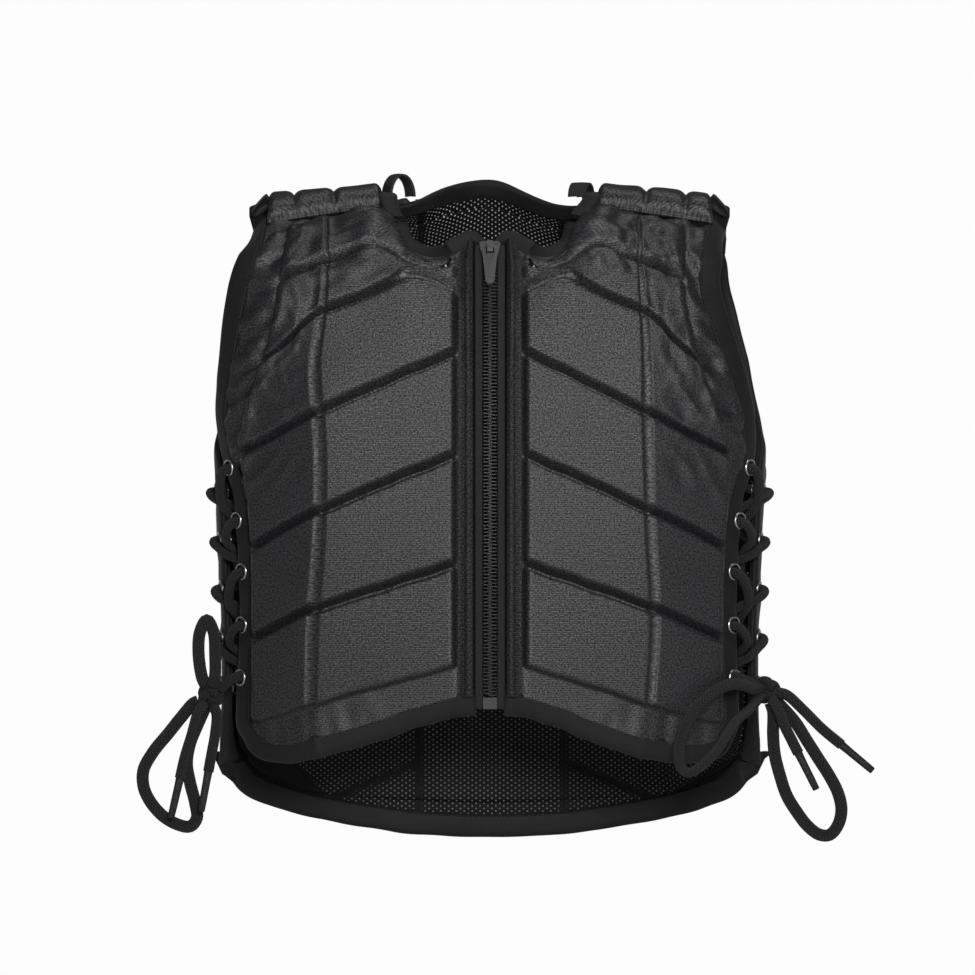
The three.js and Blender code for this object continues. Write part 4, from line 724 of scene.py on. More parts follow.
def back_edge_angle(height):
    down = -height / BACK_LENGTH
    armhole = back_angle(HALF_WIDTH * read_table(BACK_ARMHOLE, "reach", down), height)
    return mix(armhole, read_table(BACK_SIDE, "angle", down), smooth(0.21, 0.29, down))


def back_side_angle(share, height):
    seam = back_angle(HALF_WIDTH * SECOND_CREASE + GROOVE_WIDTH / 2, height)
    return mix(seam, back_edge_angle(height), share)


def back_line_down(line, kind, value):
    crease, second, edge = (BACK_LINES[name][line] for name in ("crease", "second", "edge"))
    if kind == "at":
        return mix(crease, second, np.clip((value - FIRST_CREASE) / (SECOND_CREASE - FIRST_CREASE), 0, 1))
    if kind == "first":
        return crease
    if kind == "second":
        return mix(crease, second, 1 + value * 0.1)
    return mix(second, edge, value)


def back_place(row, kind, value, side):
    place, amount, line, shift, towards = row
    seam = HALF_WIDTH * SECOND_CREASE + GROOVE_WIDTH / 2
    reach = side * {"at": HALF_WIDTH * value, "first": HALF_WIDTH * FIRST_CREASE + value * GROOVE_WIDTH,
                    "second": HALF_WIDTH * SECOND_CREASE + value * GROOVE_WIDTH,
                    "round": mix(seam, HALF_WIDTH * PAD_ARM_SIDE, value)}[kind]
    first = -BACK_LENGTH * back_line_down(0, kind, value)
    last = -BACK_LENGTH * back_line_down(4, kind, value)
    if place == "top":
        height = mix(back_top(reach), first, amount)
    elif place == "bottom":
        round_share = mix(seam / HALF_WIDTH, 1, value) if kind == "round" else abs(reach) / HALF_WIDTH
        height = mix(-BACK_LENGTH * read_table(TAIL_EDGE, "edge", round_share), last, amount)
    else:
        down = back_line_down(line, kind, value)
        if towards:
            down = mix(down, back_line_down(line + 1, kind, value), towards)
        height = -down * BACK_LENGTH - shift * GROOVE_WIDTH
    height = float(height)
    if kind != "round":
        return back_middle_skin(reach, height)
    if place == "top" and amount == 0:
        return back_side_skin(back_angle(reach, height), height)
    return back_side_skin(side * back_side_angle(value, height), height)


def seam_distance(x, z, ends):
    (ax, az), (bx, bz) = ends
    along = np.clip(((x - ax) * (bx - ax) + (z - az) * (bz - az)) / ((bx - ax) ** 2 + (bz - az) ** 2), 0, 1)
    return np.hypot(x - ax - along * (bx - ax), z - az - along * (bz - az))


def nearest_seam(net):
    return np.min([seam_distance(net[..., 0], net[..., 2], seam) for seam in MESH_SEAMS], axis=0)


def mark_plain(made, net):
    """Mark where the inner face has no holes: along its seams and at the tail's corners."""
    plain = smooth(3.4, 2.2, nearest_seam(net))
    for (ax, az), (bx, bz) in TAIL_CORNERS:
        below = ((net[..., 0] - ax) * (bz - az) - (net[..., 2] - az) * (bx - ax)) / math.hypot(bx - ax, bz - az)
        plain = np.maximum(plain, smooth(-1, 1, below * np.sign(ax)) * (net[..., 0] * ax > 0))
    attribute = made.data.attributes.new("plain", "FLOAT", "POINT")
    attribute.data.foreach_set("value", np.tile(plain.ravel(), 2).astype(np.float32))


back_rows = [("top", 0, 0, 0, 0), ("top", 0.1, 0, 0, 0), ("top", 0.3, 0, 0, 0)]
for line in range(5):
    back_rows += [("line", 0, line, shift, 0) for shift in (-0.5, 0, 0.5)]
    if line < 2:
        back_rows.append(("line", 0, line, 0, 0.5))
back_rows += [("bottom", amount, 0, 0, 0) for amount in (0.5, 0.28, 0)]
BACK_GROOVES = [row for row, entry in enumerate(back_rows) if entry[0] == "line" and not entry[3] and not entry[4]]
sided = [(kind, value, -1) for kind, value in reversed(BACK_COLUMNS)] + [
    (kind, value, 1) for kind, value in BACK_COLUMNS[1:]]
coarse_back = np.array([[np.array(back_place(row, *entry), float) for entry in sided] for row in back_rows])
back_net, rows, columns = fine_net(coarse_back, 1.9, 2.1)
middle = columns[len(BACK_COLUMNS) - 1]
u = run(back_net, 1)
u = u - u[:, [middle]]
v = -run(back_net, 0)
from_top = -v
v = v - v[[rows[10]]] + back_net[[rows[10]], :, 2]
back_normals = outward(back_net, (0, 0, -180))
groove_columns = columns[[at for at, (kind, value, _) in enumerate(sided)
                          if kind in ("first", "second") and not value]]
outer_columns = (columns[2], columns[-3])
beside_column = np.min([np.abs(u - u[:, [at]]) for at in groove_columns], axis=0)
beside_row = np.min([np.abs(v - v[[at]]) for at in rows[BACK_GROOVES]], axis=0)
edge_distance = np.minimum(u - u[:, [outer_columns[0]]], u[:, [outer_columns[1]]] - u)
tail_start = v - v[[rows[-2]]]
across = np.minimum(plump(beside_column, 0.3, 4.5), plump(np.maximum(edge_distance, 0), 0.1, 5))
along = np.minimum(plump(beside_row, 0.05, 4.5), plump(np.maximum(tail_start, 0), 0.1, 5))
along = np.minimum(along, plump(np.maximum(from_top - 7, 0), 0.05, 8))
filled = np.clip(1 - np.hypot(1 - across, 1 - along), 0, 1)
is_rim = (edge_distance < 0) | (tail_start < 0) | (from_top < 7)
filled = np.where(is_rim, np.minimum(np.minimum(across, along), 0.1), filled)
inside = np.minimum(np.minimum(beside_column, np.maximum(edge_distance, 0)),
                    np.minimum(np.maximum(tail_start, 0), beside_row))
folds = ripples(u, v, 14, 41, 2.0) * smooth(20, -10, edge_distance) * 0.8
pucker = np.exp(-beside_row / 3.5) * ripples(u, v * 0.2, 7, 43) * 0.25
from_edge = np.minimum(np.minimum(u - u[:, [0]], u[:, [-1]] - u), np.minimum(from_top, v - v[[-1]]))
slim = 1 - 0.85 * smooth(126, 158, np.abs(back_net[..., 0])) * smooth(-90, -150, back_net[..., 2])
lift = TILE_HEIGHT * filled * slim + (1.3 * (1 - np.exp(-inside / 16)) * slim + folds + pucker) * smooth(
    0, 4, from_edge)
back = sheet_mesh("back_panel_cloth", back_net + back_normals * lift[..., None],
                  back_net - back_normals * EDGE_THICKNESS, u, v, [back_twill, hole_mesh], 1)
mark_plain(back, back_net)
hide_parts("back_panel")
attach(back, "vest")


# ---- Mesh lining ----
# Black hole mesh, sewn to the inside of the back along its main seams, over thin foam.
LINING_LIFT = -6.6
LINING_THICKNESS = 1.2
low, high = rows[1], rows[-2]
left, right = columns[1], columns[-2]
lining_net = back_net[low:high + 1, left:right + 1]
lining_normals = back_normals[low:high + 1, left:right + 1]
lining_u, lining_v = u[low:high + 1, left:right + 1], v[low:high + 1, left:right + 1]
nearest = nearest_seam(lining_net)
dip = 1.0 * np.exp(-(nearest / 2.2) ** 2) - 0.5 * (1 - np.exp(-nearest / 20))
dip = dip + ripples(lining_u, lining_v, 30, 51) * 0.25
face = lining_net + lining_normals * (LINING_LIFT - LINING_THICKNESS + dip)[..., None]
behind = lining_net + lining_normals * LINING_LIFT
lining = sheet_mesh("back_mesh_lining_cloth", behind, face, lining_u, lining_v, [hole_mesh])
mark_plain(lining, lining_net)
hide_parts("back_mesh_lining")
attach(lining, "vest")


# ---- Shoulder pads ----
# Three sewn cushions side by side over each shoulder, of foam in the same twill. The cloth is
# gathered by the channels' stitches, so it wrinkles along them.
PAD_CHANNELS = (0.42, 0.76)
CUSHION_HEIGHT = 14
PAD_LIFT = 0.9


def strap_skin(x, depth):
    height = RIDGE_HEIGHT - depth * depth / (2 * SHOULDER_RADIUS)
    return np.stack([x + 0 * depth, depth * section_share(x, half_width(height)), height - drop_at(x, height)],
                    axis=-1)


for side, sign in (("left", -1), ("right", 1)):
    share = np.linspace(0, 1, 60)[None, :]
    x = sign * HALF_WIDTH * mix(PAD_NECK_SIDE, PAD_ARM_SIDE, share)
    way = (1 - np.cos(np.linspace(0, np.pi, 48)[:, None])) / 2
    depth = mix(pad_depth(x, "back"), -pad_depth(x, "front"), way)
    net = strap_skin(x + 0 * depth, depth)
    normals = outward(net, (0, 0, -60))
    u, v = run(net, 1), run(net, 0)
    first, second = (u[:, -1:] * channel for channel in PAD_CHANNELS)
    channel = np.minimum(np.abs(u - first), np.abs(u - second))
    across = np.minimum(plump(channel, 0.72, 6), np.minimum(plump(u, 0.25, 5), plump(u[:, -1:] - u, 0.25, 5)))
    ends = plump(np.minimum(v, v[-1:] - v), 0.12, 11)
    top = CUSHION_HEIGHT * across * ends
    top = top + ripples(v, u, 19, 61 if side == "left" else 62, 1.5) * 0.6 * smooth(0, 4, channel)
    underside = mix(-EDGE_THICKNESS, PAD_LIFT, smooth(4, -4, depth))
    top = np.maximum(top, underside + 2.5)
    pad = sheet_mesh(f"shoulder_pad_{side}_cloth", net + normals * top[..., None],
                     net + normals * underside[..., None], u, v, [back_twill, hole_mesh], 1)
    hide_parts(f"shoulder_pad_{side}")
    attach(pad, "vest")
    panel_edges[f"pad_{side}"] = (net, normals, underside)


# ---- Bindings ----
# Folded woven tape of smooth dark polyester, sewn round every edge with one row of stitches near
# its inner side. The side bindings carry the eyelets.
EDGE_BINDING_WIDTH = 11
NECK_BINDING_WIDTH = 9
NECK_BINDING_START = 3
EYELET_BORE = 3.9
BINDING_HALF = 2.24


# Woven polyester binding tape: fine lengthwise ribs and a row of stitches in matching thread.
def binding_material():
    made, tree = new_material("woven_binding_tape")
    uv = add(tree, "UVMap").outputs[0]
    parts = add(tree, "SeparateXYZ", {0: uv})
    around, along = parts.outputs[0], parts.outputs[1]
    uneven = add(tree, "TexNoise", {"Vector": uv, "Scale": 700.0, "Detail": 3.0})
    patches = add(tree, "TexNoise", {"Vector": uv, "Scale": 40.0, "Detail": 3.0})
    ribs = maths(tree, "SINE", maths(tree, "MULTIPLY", along, 2 * math.pi / 0.0009))
    weave = maths(tree, "ADD", maths(tree, "MULTIPLY", ribs, 0.3), uneven.outputs[0])
    near = add(tree, "MapRange", {0: maths(tree, "ABSOLUTE", maths(tree, "SUBTRACT", around, 0.0022)),
                                  1: 0.0002, 2: 0.0007, 3: 1.0, 4: 0.0}).outputs[0]
    dash = add(tree, "MapRange", {0: maths(tree, "PINGPONG", along, 0.0014), 1: 0.0002, 2: 0.0005}).outputs[0]
    tone = maths(tree, "MULTIPLY", maths(tree, "ADD", weave, patches.outputs[0]), 0.5)
    colour = add(tree, "Mix", {"Factor": tone, 6: linear("#0e0e0f"), 7: linear("#222225")}, data_type="RGBA")
    stitched = add(tree, "Mix", {"Factor": maths(tree, "MULTIPLY", near, 0.6), 6: colour.outputs[2],
                                 7: linear("#0b0b0c")}, data_type="RGBA")
    height = maths(tree, "SUBTRACT", weave, maths(tree, "MULTIPLY", near, 3.0))
    height = maths(tree, "ADD", height, maths(tree, "MULTIPLY", maths(tree, "MULTIPLY", near, dash), 2.4))
    surface(tree, {"Base Color": stitched.outputs[2], "Roughness": 0.6, "Specular IOR Level": 0.25,
                   "Sheen Weight": 0.04}, height, 0.00018, 0.8)
    return made


binding_tape = binding_material()


def edge_frames(parts, upright=False):
    """Frames along panel edges: middle, way out, and way up, from points of both faces and inwards."""
    outer, inner, inwards = (np.concatenate([part[at] for part in parts]) for at in range(3))
    middle = (outer + inner) / 2
    keep = np.concatenate([[True], np.linalg.norm(np.diff(middle, axis=0), axis=1) > 0.25])
    outer, inner, inwards, middle = outer[keep], inner[keep], inwards[keep], middle[keep]
    normal = unit(outer - inner)
    if upright:
        # the tape stands up round the front of the neck
        share = smooth(-12, -30, middle[:, 1])[:, None]
        normal = unit(mix(normal, unit(normal * 0.25 + np.array([0, -1, 0.3])), share))
    out = unit(np.cross(unit(np.gradient(middle, axis=0)), normal))
    out = out * np.sign((out * (middle - inwards)).sum())
    weights = np.exp(-np.linspace(-2, 2, 9) ** 2)
    for vectors in (out, normal):
        padded = np.concatenate([np.repeat(vectors[:1], 4, 0), vectors, np.repeat(vectors[-1:], 4, 0)])
        for axis in range(3):
            vectors[:, axis] = np.convolve(padded[:, axis], weights / weights.sum(), "valid")
    # over the shoulders the binding turns down with the edge of the pads
    out = unit(unit(out) - np.array([0, 0, 0.8]) * smooth(-28, -6, middle[:, 2])[:, None]
               * (np.abs(middle[:, 0]) > 100)[:, None])
    normal = unit(normal - out * (normal * out).sum(axis=1)[:, None])
    return middle, out, normal


def binding_mesh(name, frames, width, holes=()):
    middle, out, normal = frames
    share = width / EDGE_BINDING_WIDTH
    half = [(-2.6, 2.3), (-2.6, 3.1), (-1.2, 3.35), (0.8, 3.3), (3.0, 3.05), (4.8, 2.85), (6.6, 2.6), (8.4, 2.25),
            (9.9, 1.7), (10.9, 0.9), (11.3, 0)]
    section = half + [(far, -up) for far, up in half[-2::-1]]
    section = np.array([(far * (share if far > 0 else 1), up) for far, up in section])
    uneven = ripples(np.arange(len(middle)) * 1.7, 0 * np.arange(len(middle)), 24, 71) * 0.22
    rings = middle[:, None] + out[:, None] * (section[None, :, :1] + uneven[:, None, None]
                                              * (section[None, :, :1] > 5)) \
        + normal[:, None] * section[None, :, 1:]
    count = len(section)
    around = np.concatenate([[0], np.cumsum(np.linalg.norm(np.diff(section, axis=0), axis=1))])
    along = np.concatenate([[0], np.cumsum(np.linalg.norm(np.diff(middle, axis=0), axis=1))])
    # both halves of the fold count their distance from their own inner edge
    around = np.minimum(around, around[-1] - around)
    uvs = np.stack(np.broadcast_arrays(around[None, :], along[:, None]), axis=-1).reshape(-1, 2) * 0.001
    faces = []
    flat = rings.reshape(-1, 3)
    for at in range(len(middle) - 1):
        for side in range(count):
            after = (side + 1) % count
            face = (at * count + side, at * count + after, (at + 1) * count + after, (at + 1) * count + side)
            centre = flat[list(face)].mean(axis=0)
            if all(np.linalg.norm(np.cross(centre - point, axis)) > EYELET_BORE + 0.5
                   or abs((centre - point).dot(axis)) > 8 for point, axis in holes):
                faces.append(face)
    faces.append(tuple(range(count)))
    faces.append(tuple((len(middle) - 1) * count + side for side in reversed(range(count))))
    made = make_mesh(name + "_tape", flat, faces, uvs, True, [binding_tape])
    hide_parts(name)
    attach(made, "vest")
    return made


def eyelet_place(name):
    """Where an eyelet's middle lies on its binding, and the way it faces."""
    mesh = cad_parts[name].data
    points = np.array([vertex.co[:] for vertex in mesh.vertices]) * 1000
    centre = points.mean(axis=0)
    axis = np.linalg.svd(points - centre, full_matrices=False)[2][2]
    if axis.dot(centre * [1, 1, 0]) < 0:
        axis = -axis
    base = ((points - centre) @ axis).min()
    return centre + axis * (base - BINDING_HALF - 1.5 * GAP), axis


EYELETS = {(part, side): [eyelet_place(f"eyelet_{part}_{side}_{number}") for number in range(1, 6)]
           for part in ("front", "back") for side in ("left", "right")}


def net_edge(net, normals, take, further, low=None, raised=0):
    """Points of an edge of a panel, on both its faces, and points of it further in."""
    base, normal, inwards = net[take] + normals[take] * raised, normals[take], net[further]
    low = -EDGE_THICKNESS if low is None else low[take][:, None]
    top = 0 if isinstance(low, int) else low + EDGE_THICKNESS
    return base + normal * top, base + normal * low, inwards - normal * EDGE_THICKNESS / 2


def reverse(part):
    return [points[::-1] for points in part]


neck_ends = {}
for side in ("left", "right"):
    net, normals, columns_front = panel_edges[f"front_{side}"]
    down_edge = net_edge(net, normals, (slice(0, None), -1), (slice(0, None), -6))
    hem = reverse(net_edge(net, normals, (-1, slice(0, -1)), (-6, slice(0, -1))))
    middle, out, normal = edge_frames([down_edge, hem])
    # its end runs up over the front of the shoulder
    lead = np.array([[0, 9, 9], [0, 6, 7], [0, 3, 4]]) + middle[0]
    faces_front = np.repeat(unit(out[:1] * [1, 0, 0.2]), 3, 0)
    edge = (np.concatenate([lead, middle]), np.concatenate([faces_front, out]),
            np.concatenate([np.repeat(normal[:1], 3, 0), normal]))
    binding_mesh(f"front_edge_binding_{side}", edge, EDGE_BINDING_WIDTH, EYELETS["front", side])
    neck_end = columns_front[FRONT_COLUMNS.index("c")] - 1
    along, after = slice(0, neck_end), slice(neck_end + 1, neck_end + 3)
    neck = edge_frames([net_edge(net, normals, (0, along), (6, along))], True)
    neck_ends[side] = net_edge(net, normals, (0, after), (6, after))
    # its end crosses the zip tape, nearly to the middle
    reach = neck[0][0][0]
    start_points = np.repeat(neck[0][:1], 4, 0)
    start_points[:, 0] = np.linspace(np.sign(reach) * NECK_BINDING_START, reach, 5)[:-1]
    neck = tuple(np.concatenate([extra, part]) for extra, part in zip(
        (start_points, np.repeat(neck[1][:1], 4, 0), np.repeat(neck[2][:1], 4, 0)), neck))
    binding_mesh(f"neck_binding_front_{side}", neck, NECK_BINDING_WIDTH)

pad_edges = {}
for side in ("left", "right"):
    net, normals, underside = panel_edges[f"pad_{side}"]
    arm = net_edge(net, normals, (slice(None), -1), (slice(None), -5), underside, 6)
    # the front's binding covers the pad's end
    pad_edges[side, "arm"] = reverse([points[:-14] for points in arm])
    neck = reverse(net_edge(net, normals, (slice(4, -4), 0), (slice(4, -4), 4), underside, 2))
    share = np.linspace(0, 1, 12)[:-1, None]
    pad_edges[side, "neck"] = [np.concatenate([mix(end[:1], points[:1], share), points])
                               for end, points in zip(neck_ends[side], neck)]
side_left = net_edge(back_net, back_normals, (slice(3, None), 0), (slice(3, None), 6))
tail = net_edge(back_net, back_normals, (-1, slice(1, -1)), (-7, slice(1, -1)))
side_right = reverse(net_edge(back_net, back_normals, (slice(3, None), -1), (slice(3, None), -7)))
binding_mesh("back_edge_binding", edge_frames(
    [pad_edges["left", "arm"], side_left, tail, side_right, reverse(pad_edges["right", "arm"])]),
    EDGE_BINDING_WIDTH, EYELETS["back", "left"] + EYELETS["back", "right"])
reach = [at for at, (kind, value, _) in enumerate(sided) if (kind, value) == ("at", 0.37)]
collar = slice(columns[reach[0]], columns[reach[1]] + 1)
binding_mesh("neck_binding_back", edge_frames(
    [pad_edges["left", "neck"], net_edge(back_net, back_normals, (0, collar), (6, collar)),
     reverse(pad_edges["right", "neck"])], True), NECK_BINDING_WIDTH * 0.9)


# ---- Zip ----
# A moulded separating zip: plastic teeth on woven tapes, sewn behind the panels' folded edges. The
# slider, its tapered pull and the box at the bottom are cast metal with a dark finish.
ZIP_TOP = 14.8
ZIP_BOTTOM = FRONT_LENGTH * FRONT_LINES["zip"][-1]
TOOTH_PITCH = 2.1
TEETH_TOP = -1.0
TEETH_THICKNESS = 3
TAPE_THICKNESS = 1.2
TAPE_LEVEL = -1.9
TAPE_END = 7.3
TAPE_ROWS = 160


# Herringbone zip tape: dull black polyester with a fine slanting rib.
def zip_tape_material():
    made, tree = new_material("woven_zip_tape")
    uv = add(tree, "UVMap").outputs[0]
    parts = add(tree, "SeparateXYZ", {0: uv})
    slant = maths(tree, "ADD", maths(tree, "PINGPONG", parts.outputs[0], 0.001), parts.outputs[1])
    ribs = maths(tree, "SINE", maths(tree, "MULTIPLY", slant, 2 * math.pi / 0.0008))
    noise = add(tree, "TexNoise", {"Vector": uv, "Scale": 800.0})
    height = maths(tree, "ADD", maths(tree, "MULTIPLY", ribs, 0.4), noise.outputs[0])
    colour = add(tree, "Mix", {"Factor": maths(tree, "MULTIPLY", height, 0.6), 6: linear("#121213"),
                               7: linear("#303033")}, data_type="RGBA")
    surface(tree, {"Base Color": colour.outputs[2], "Roughness": 0.75}, height, 0.0002)
    return made


# Moulded acetal teeth: black, with a soft gloss.
def teeth_material():
    made, tree = new_material("moulded_acetal_teeth")
    noise = add(tree, "TexNoise", {"Scale": 500.0})
    tone = add(tree, "Mix", {"Factor": noise.outputs[0], 6: linear("#0e0e0f"), 7: linear("#2c2c2f")},
               data_type="RGBA")
    surface(tree, {"Base Color": tone.outputs[2], "Roughness": 0.32}, noise.outputs[0], 0.0001)
    return made


# Cast zinc with a black finish that is rubbed a little brighter on its edges.
def zip_metal_material():
    made, tree = new_material("black_finished_zinc")
    worn = add(tree, "NewGeometry").outputs["Pointiness"]
    edge = add(tree, "MapRange", {0: worn, 1: 0.5, 2: 0.58}).outputs[0]
    noise = add(tree, "TexNoise", {"Scale": 350.0, "Detail": 3.0})
    tone = add(tree, "Mix", {"Factor": maths(tree, "MULTIPLY", edge, 0.6), 6: linear("#0a0a0b"),
                             7: linear("#4a4a4c")}, data_type="RGBA")
    rough = maths(tree, "ADD", maths(tree, "MULTIPLY", noise.outputs[0], 0.2), 0.22)
    surface(tree, {"Base Color": tone.outputs[2], "Metallic": 0.35, "Roughness": rough}, noise.outputs[0], 0.00008)
    return made


zip_tape_cloth = zip_tape_material()
teeth_plastic = teeth_material()
zip_metal = zip_metal_material()

for side, sign in (("left", -1), ("right", 1)):
    heights = -np.linspace(ZIP_TOP, ZIP_BOTTOM + TAPE_END, TAPE_ROWS)[:, None]
    near = np.array([4.5, 5.6, 6.9, 8.0, 9.0])[None, :]
    outer = front_point(sign * near, heights, np.full((TAPE_ROWS, 5), TAPE_LEVEL))
    inner = front_point(sign * near, heights, np.full((TAPE_ROWS, 5), TAPE_LEVEL - TAPE_THICKNESS))
    tape = sheet_mesh(f"zip_tape_{side}_cloth", outer, inner, near + 0 * heights, heights + 0 * near,
                      [zip_tape_cloth])
    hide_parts(f"zip_tape_{side}")
    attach(tape, "vest")

    points, faces = [], []
    tooth_heights = np.arange(ZIP_TOP + 1.2 + (0 if sign < 0 else TOOTH_PITCH / 2), ZIP_BOTTOM - 0.6, TOOTH_PITCH)
    for height in tooth_heights:
        first = len(points)
        # share of the tooth's thickness, half its height, and its inner and outer side
        rings = [(0.0, 0.60, -1.1, 4.1), (0.8, 0.60, -1.2, 4.15), (0.95, 0.42, -1.0, 4.0), (1.0, 0.2, -0.7, 3.7)]
        for share, half, inside_x, outside_x in rings:
            level = TEETH_TOP - TEETH_THICKNESS * (1 - share)
            for x, z in ((inside_x, -half), (outside_x, -half), (outside_x, half), (inside_x, half)):
                points.append(front_point(sign * x, -height + z, level))
        for ring in range(3):
            for corner in range(4):
                here, after = first + ring * 4 + corner, first + ring * 4 + (corner + 1) % 4
                faces.append((here, after, after + 4, here + 4))
        faces.append((first + 3, first + 2, first + 1, first))
        faces.append((first + 12, first + 13, first + 14, first + 15))
    teeth = make_mesh(f"zip_teeth_{side}_row", points, faces, None, False, [teeth_plastic])
    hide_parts(f"zip_teeth_{side}")
    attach(teeth, "vest")

for name, body, bevel in (("zip_slider", "vest", 0.35), ("zip_pull", "zip_pull", 0.4),
                          ("zip_bottom_box", "vest", 0.5)):
    cast = bpy.data.objects.new(f"{name}_cast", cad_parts[name].data.copy())
    cast.data.materials.clear()
    cast.data.materials.append(zip_metal)
    bpy.context.scene.collection.objects.link(cast)
    rounding = cast.modifiers.new("rounded", "BEVEL")
    rounding.width = bevel * 0.001
    rounding.segments = 3
    rounding.limit_method = "ANGLE"
    rounding.angle_limit = math.radians(25)
    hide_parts(name)
    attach(cast, body)


# ---- Eyelets ----
# Rolled rings of nickel-plated brass, set through the side bindings, with their barrel and washer.
def eyelet_material():
    made, tree = new_material("nickel_plated_brass")
    noise = add(tree, "TexNoise", {"Scale": 420.0, "Detail": 3.0})
    rough = maths(tree, "ADD", maths(tree, "MULTIPLY", noise.outputs[0], 0.22), 0.16)
    tone = add(tree, "Mix", {"Factor": noise.outputs[0], 6: linear("#a9a9ab"), 7: linear("#dededf")},
               data_type="RGBA")
    surface(tree, {"Base Color": tone.outputs[2], "Metallic": 1.0, "Roughness": rough}, noise.outputs[0], 0.00004)
    return made


nickel = eyelet_material()
# radius and height over the binding's middle, from the washer behind round to the roll in front
EYELET_SECTION = [(5.3, -3.4), (4.2, -3.9), (3.7, -3.3), (3.6, -1.0), (3.6, 1.6), (3.75, 2.9), (4.2, 3.75),
                  (4.75, 3.9), (5.2, 3.55), (5.4, 3.0), (5.35, 2.75), (4.3, 2.7), (4.0, 1.4), (4.0, -1.0), (4.3, -3.0),
                  (5.3, -3.1)]
for (part, side), places in EYELETS.items():
    for number, (point, axis) in enumerate(places, 1):
        across = unit(np.cross(axis, (0, 0, 1)))
        upwards = np.cross(axis, across)
        turns = np.linspace(0, 2 * np.pi, 32, endpoint=False)
        ring = [point + (across * math.cos(turn) + upwards * math.sin(turn)) * radius + axis * (height + 0.25)
                for turn in turns for radius, height in EYELET_SECTION]
        count = len(EYELET_SECTION)
        faces = [(turn * count + at, turn * count + (at + 1) % count, (turn + 1) % 32 * count + (at + 1) % count,
                  (turn + 1) % 32 * count + at) for turn in range(32) for at in range(count)]
        name = f"eyelet_{part}_{side}_{number}"
        eyelet = make_mesh(f"{name}_ring", ring, faces, None, True, [nickel])
        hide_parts(name)
        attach(eyelet, "vest")


# ---- Side laces ----
# The same braided cord, threaded crosswise through the eyelets of each side and drawn snug: over
# one edge, under the other, down to the knot.
LACE_TIGHT = 5.2
LACE_OVER = 7.14
LACE_UNDER = 5.84
STRAND = [(0.045, LACE_OVER), (0.28, LACE_OVER), (0.5, 0), (0.76, 0.7 - LACE_UNDER), (0.955, -LACE_UNDER)]
for side in ("left", "right"):
    ends = {part: EYELETS[part, side] for part in ("front", "back")}
    knot = np.array(KNOTS[side], float)

    def leg(first, second, crossing):
        points = [ends[first][0][0]]
        for index in range(4):
            near, far = (second, first) if index % 2 else (first, second)
            (start, start_axis), (end, end_axis) = ends[near][index], ends[far][index + 1]
            for way, height in STRAND:
                axis = unit(mix(start_axis, end_axis, 0 if way < 0.25 else 1 if way > 0.75 else 0.5))
                points.append(mix(start, end, way) + axis * (crossing if way == 0.5 else height))
        point, axis = ends[first][4]
        over = point + axis * LACE_OVER
        return [*points, over, knot + unit(over - knot) * (KNOT_RADIUS - 2)]

    def inside_bar(part, other):
        (start, axis), (end, _) = ends[part][0], ends[other][0]
        return mix(start, end, 0.12) - axis * LACE_UNDER

    threaded = [*leg("front", "back", 4.5)[::-1], inside_bar("front", "back"), inside_bar("back", "front"),
                *leg("back", "front", -1.3)]
    path = route(threaded, 1.5)
    lace = tube(f"side_lace_{side}_cord", path, 6.0, LACE_TIGHT, 14)
    lace.data.materials.append(braid)
    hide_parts(f"side_lace_{side}")
    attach(lace, "vest")


# ---- Neck loops ----
# Short loops of flat black elastic webbing, sewn into the neck's binding beside each shoulder.
LOOP_WIDTH = 11
LOOP_THICKNESS = 1.5


# Woven elastic: lengthwise rubber ribs under black yarn.
def elastic_material():
    made, tree = new_material("woven_elastic_webbing")
    uv = add(tree, "UVMap").outputs[0]
    parts = add(tree, "SeparateXYZ", {0: uv})
    ribs = maths(tree, "SINE", maths(tree, "MULTIPLY", parts.outputs[0], 2 * math.pi / 0.0012))
    noise = add(tree, "TexNoise", {"Vector": uv, "Scale": 900.0})
    height = maths(tree, "ADD", maths(tree, "MULTIPLY", ribs, 0.5), noise.outputs[0])
    tone = add(tree, "Mix", {"Factor": maths(tree, "MULTIPLY", height, 0.6), 6: linear("#121213"),
                             7: linear("#2e2e31")}, data_type="RGBA")
    surface(tree, {"Base Color": tone.outputs[2], "Roughness": 0.7}, height, 0.0002)
    return made


elastic = elastic_material()
for side, foot, turn, span, rise in (("left", (-55, 4, 11.6), 0.5, 16, 13), ("right", (55, 5, 11.4), 1.25, 17, 8)):
    angles = np.linspace(0, np.pi, 40)[:, None]
    widths = np.linspace(-LOOP_WIDTH / 2, LOOP_WIDTH / 2, 9)[None, :]
    bowed = 0.25 * np.cos(widths / LOOP_WIDTH * np.pi)

    def arch(way):
        reach = 1 + way * LOOP_THICKNESS / span
        x, z = -np.cos(angles) * span / 2 * reach, np.sin(angles) * (rise + way * LOOP_THICKNESS / 2) + bowed
        x, y, z = np.broadcast_arrays(x, widths, z)
        c, s = math.cos(turn), math.sin(turn)
        return np.stack([x * c - y * s, x * s + y * c, z], axis=-1) + np.array(foot, float)

    lengths = angles * (span + rise) / 2.5 + 0 * widths
    loop = sheet_mesh(f"neck_loop_{side}_strap", arch(1), arch(-1), widths + 0 * angles, lengths, [elastic])
    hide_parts(f"neck_loop_{side}")
    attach(loop, "vest")


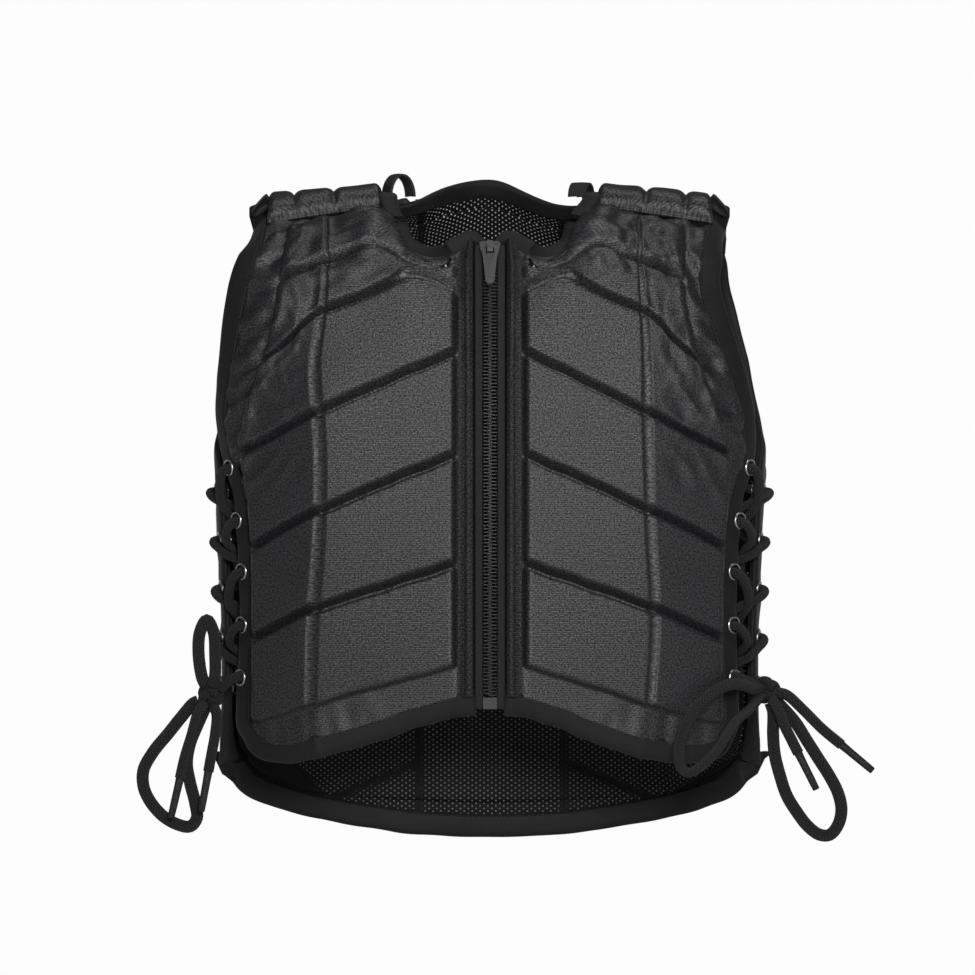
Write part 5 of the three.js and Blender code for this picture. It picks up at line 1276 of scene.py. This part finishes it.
# ---- Studio ----
# A plain pale floor below the frame's edge, a white surround that is dimmer below, and soft lights.
FLOOR_HEIGHT = -0.56
floor_points = [(4000 * math.cos(turn), 4000 * math.sin(turn), FLOOR_HEIGHT * 1000)
                for turn in np.linspace(0, 2 * np.pi, 96, endpoint=False)]
floor = make_mesh("studio_floor", floor_points, [tuple(range(96))], None, False)
floor_paint, tree = new_material("pale_matt_floor")
floor_noise = add(tree, "TexNoise", {"Scale": 6.0})
floor_tone = add(tree, "Mix", {"Factor": floor_noise.outputs[0], 6: linear("#e6e6e6"), 7: linear("#ececec")},
                 data_type="RGBA")
surface(tree, {"Base Color": floor_tone.outputs[2], "Roughness": 0.8})
floor.data.materials.append(floor_paint)

world = bpy.data.worlds.new("studio")
world.use_nodes = True
world.node_tree.nodes.clear()
direction = add(world.node_tree, "TexCoord").outputs["Generated"]
ways = add(world.node_tree, "SeparateXYZ", {0: direction}).outputs
shade = add(world.node_tree, "MapRange", {0: maths(world.node_tree, "ABSOLUTE", ways[2]), 1: 0.05, 2: 0.16,
                                          3: 0.98, 4: 0.1}).outputs[0]
behind = add(world.node_tree, "MapRange", {0: ways[1], 1: 0.2, 2: 0.8, 3: 0.5, 4: 1.0}).outputs[0]
shade = maths(world.node_tree, "MULTIPLY", shade, behind)
background = add(world.node_tree, "Background", {"Strength": shade, "Color": linear("#ffffff")})
add(world.node_tree, "OutputWorld", {"Surface": background.outputs[0]})
bpy.context.scene.world = world


def soft_light(name, place, target, size, power):
    lamp_data = bpy.data.lights.new(name, "AREA")
    lamp_data.shape = "DISK"
    lamp_data.size = size
    lamp_data.energy = power
    lamp = bpy.data.objects.new(name, lamp_data)
    lamp.location = place
    lamp.rotation_euler = (Vector(target) - Vector(place)).to_track_quat("-Z", "Y").to_euler()
    bpy.context.scene.collection.objects.link(lamp)


soft_light("key", (0.22, -2.6, 0.3), (0, 0, -0.18), 0.6, 40)
soft_light("top", (0.2, -0.2, 1.6), (0, 0, -0.1), 0.8, 9)
scene = bpy.context.scene
scene.view_settings.view_transform = "Standard"
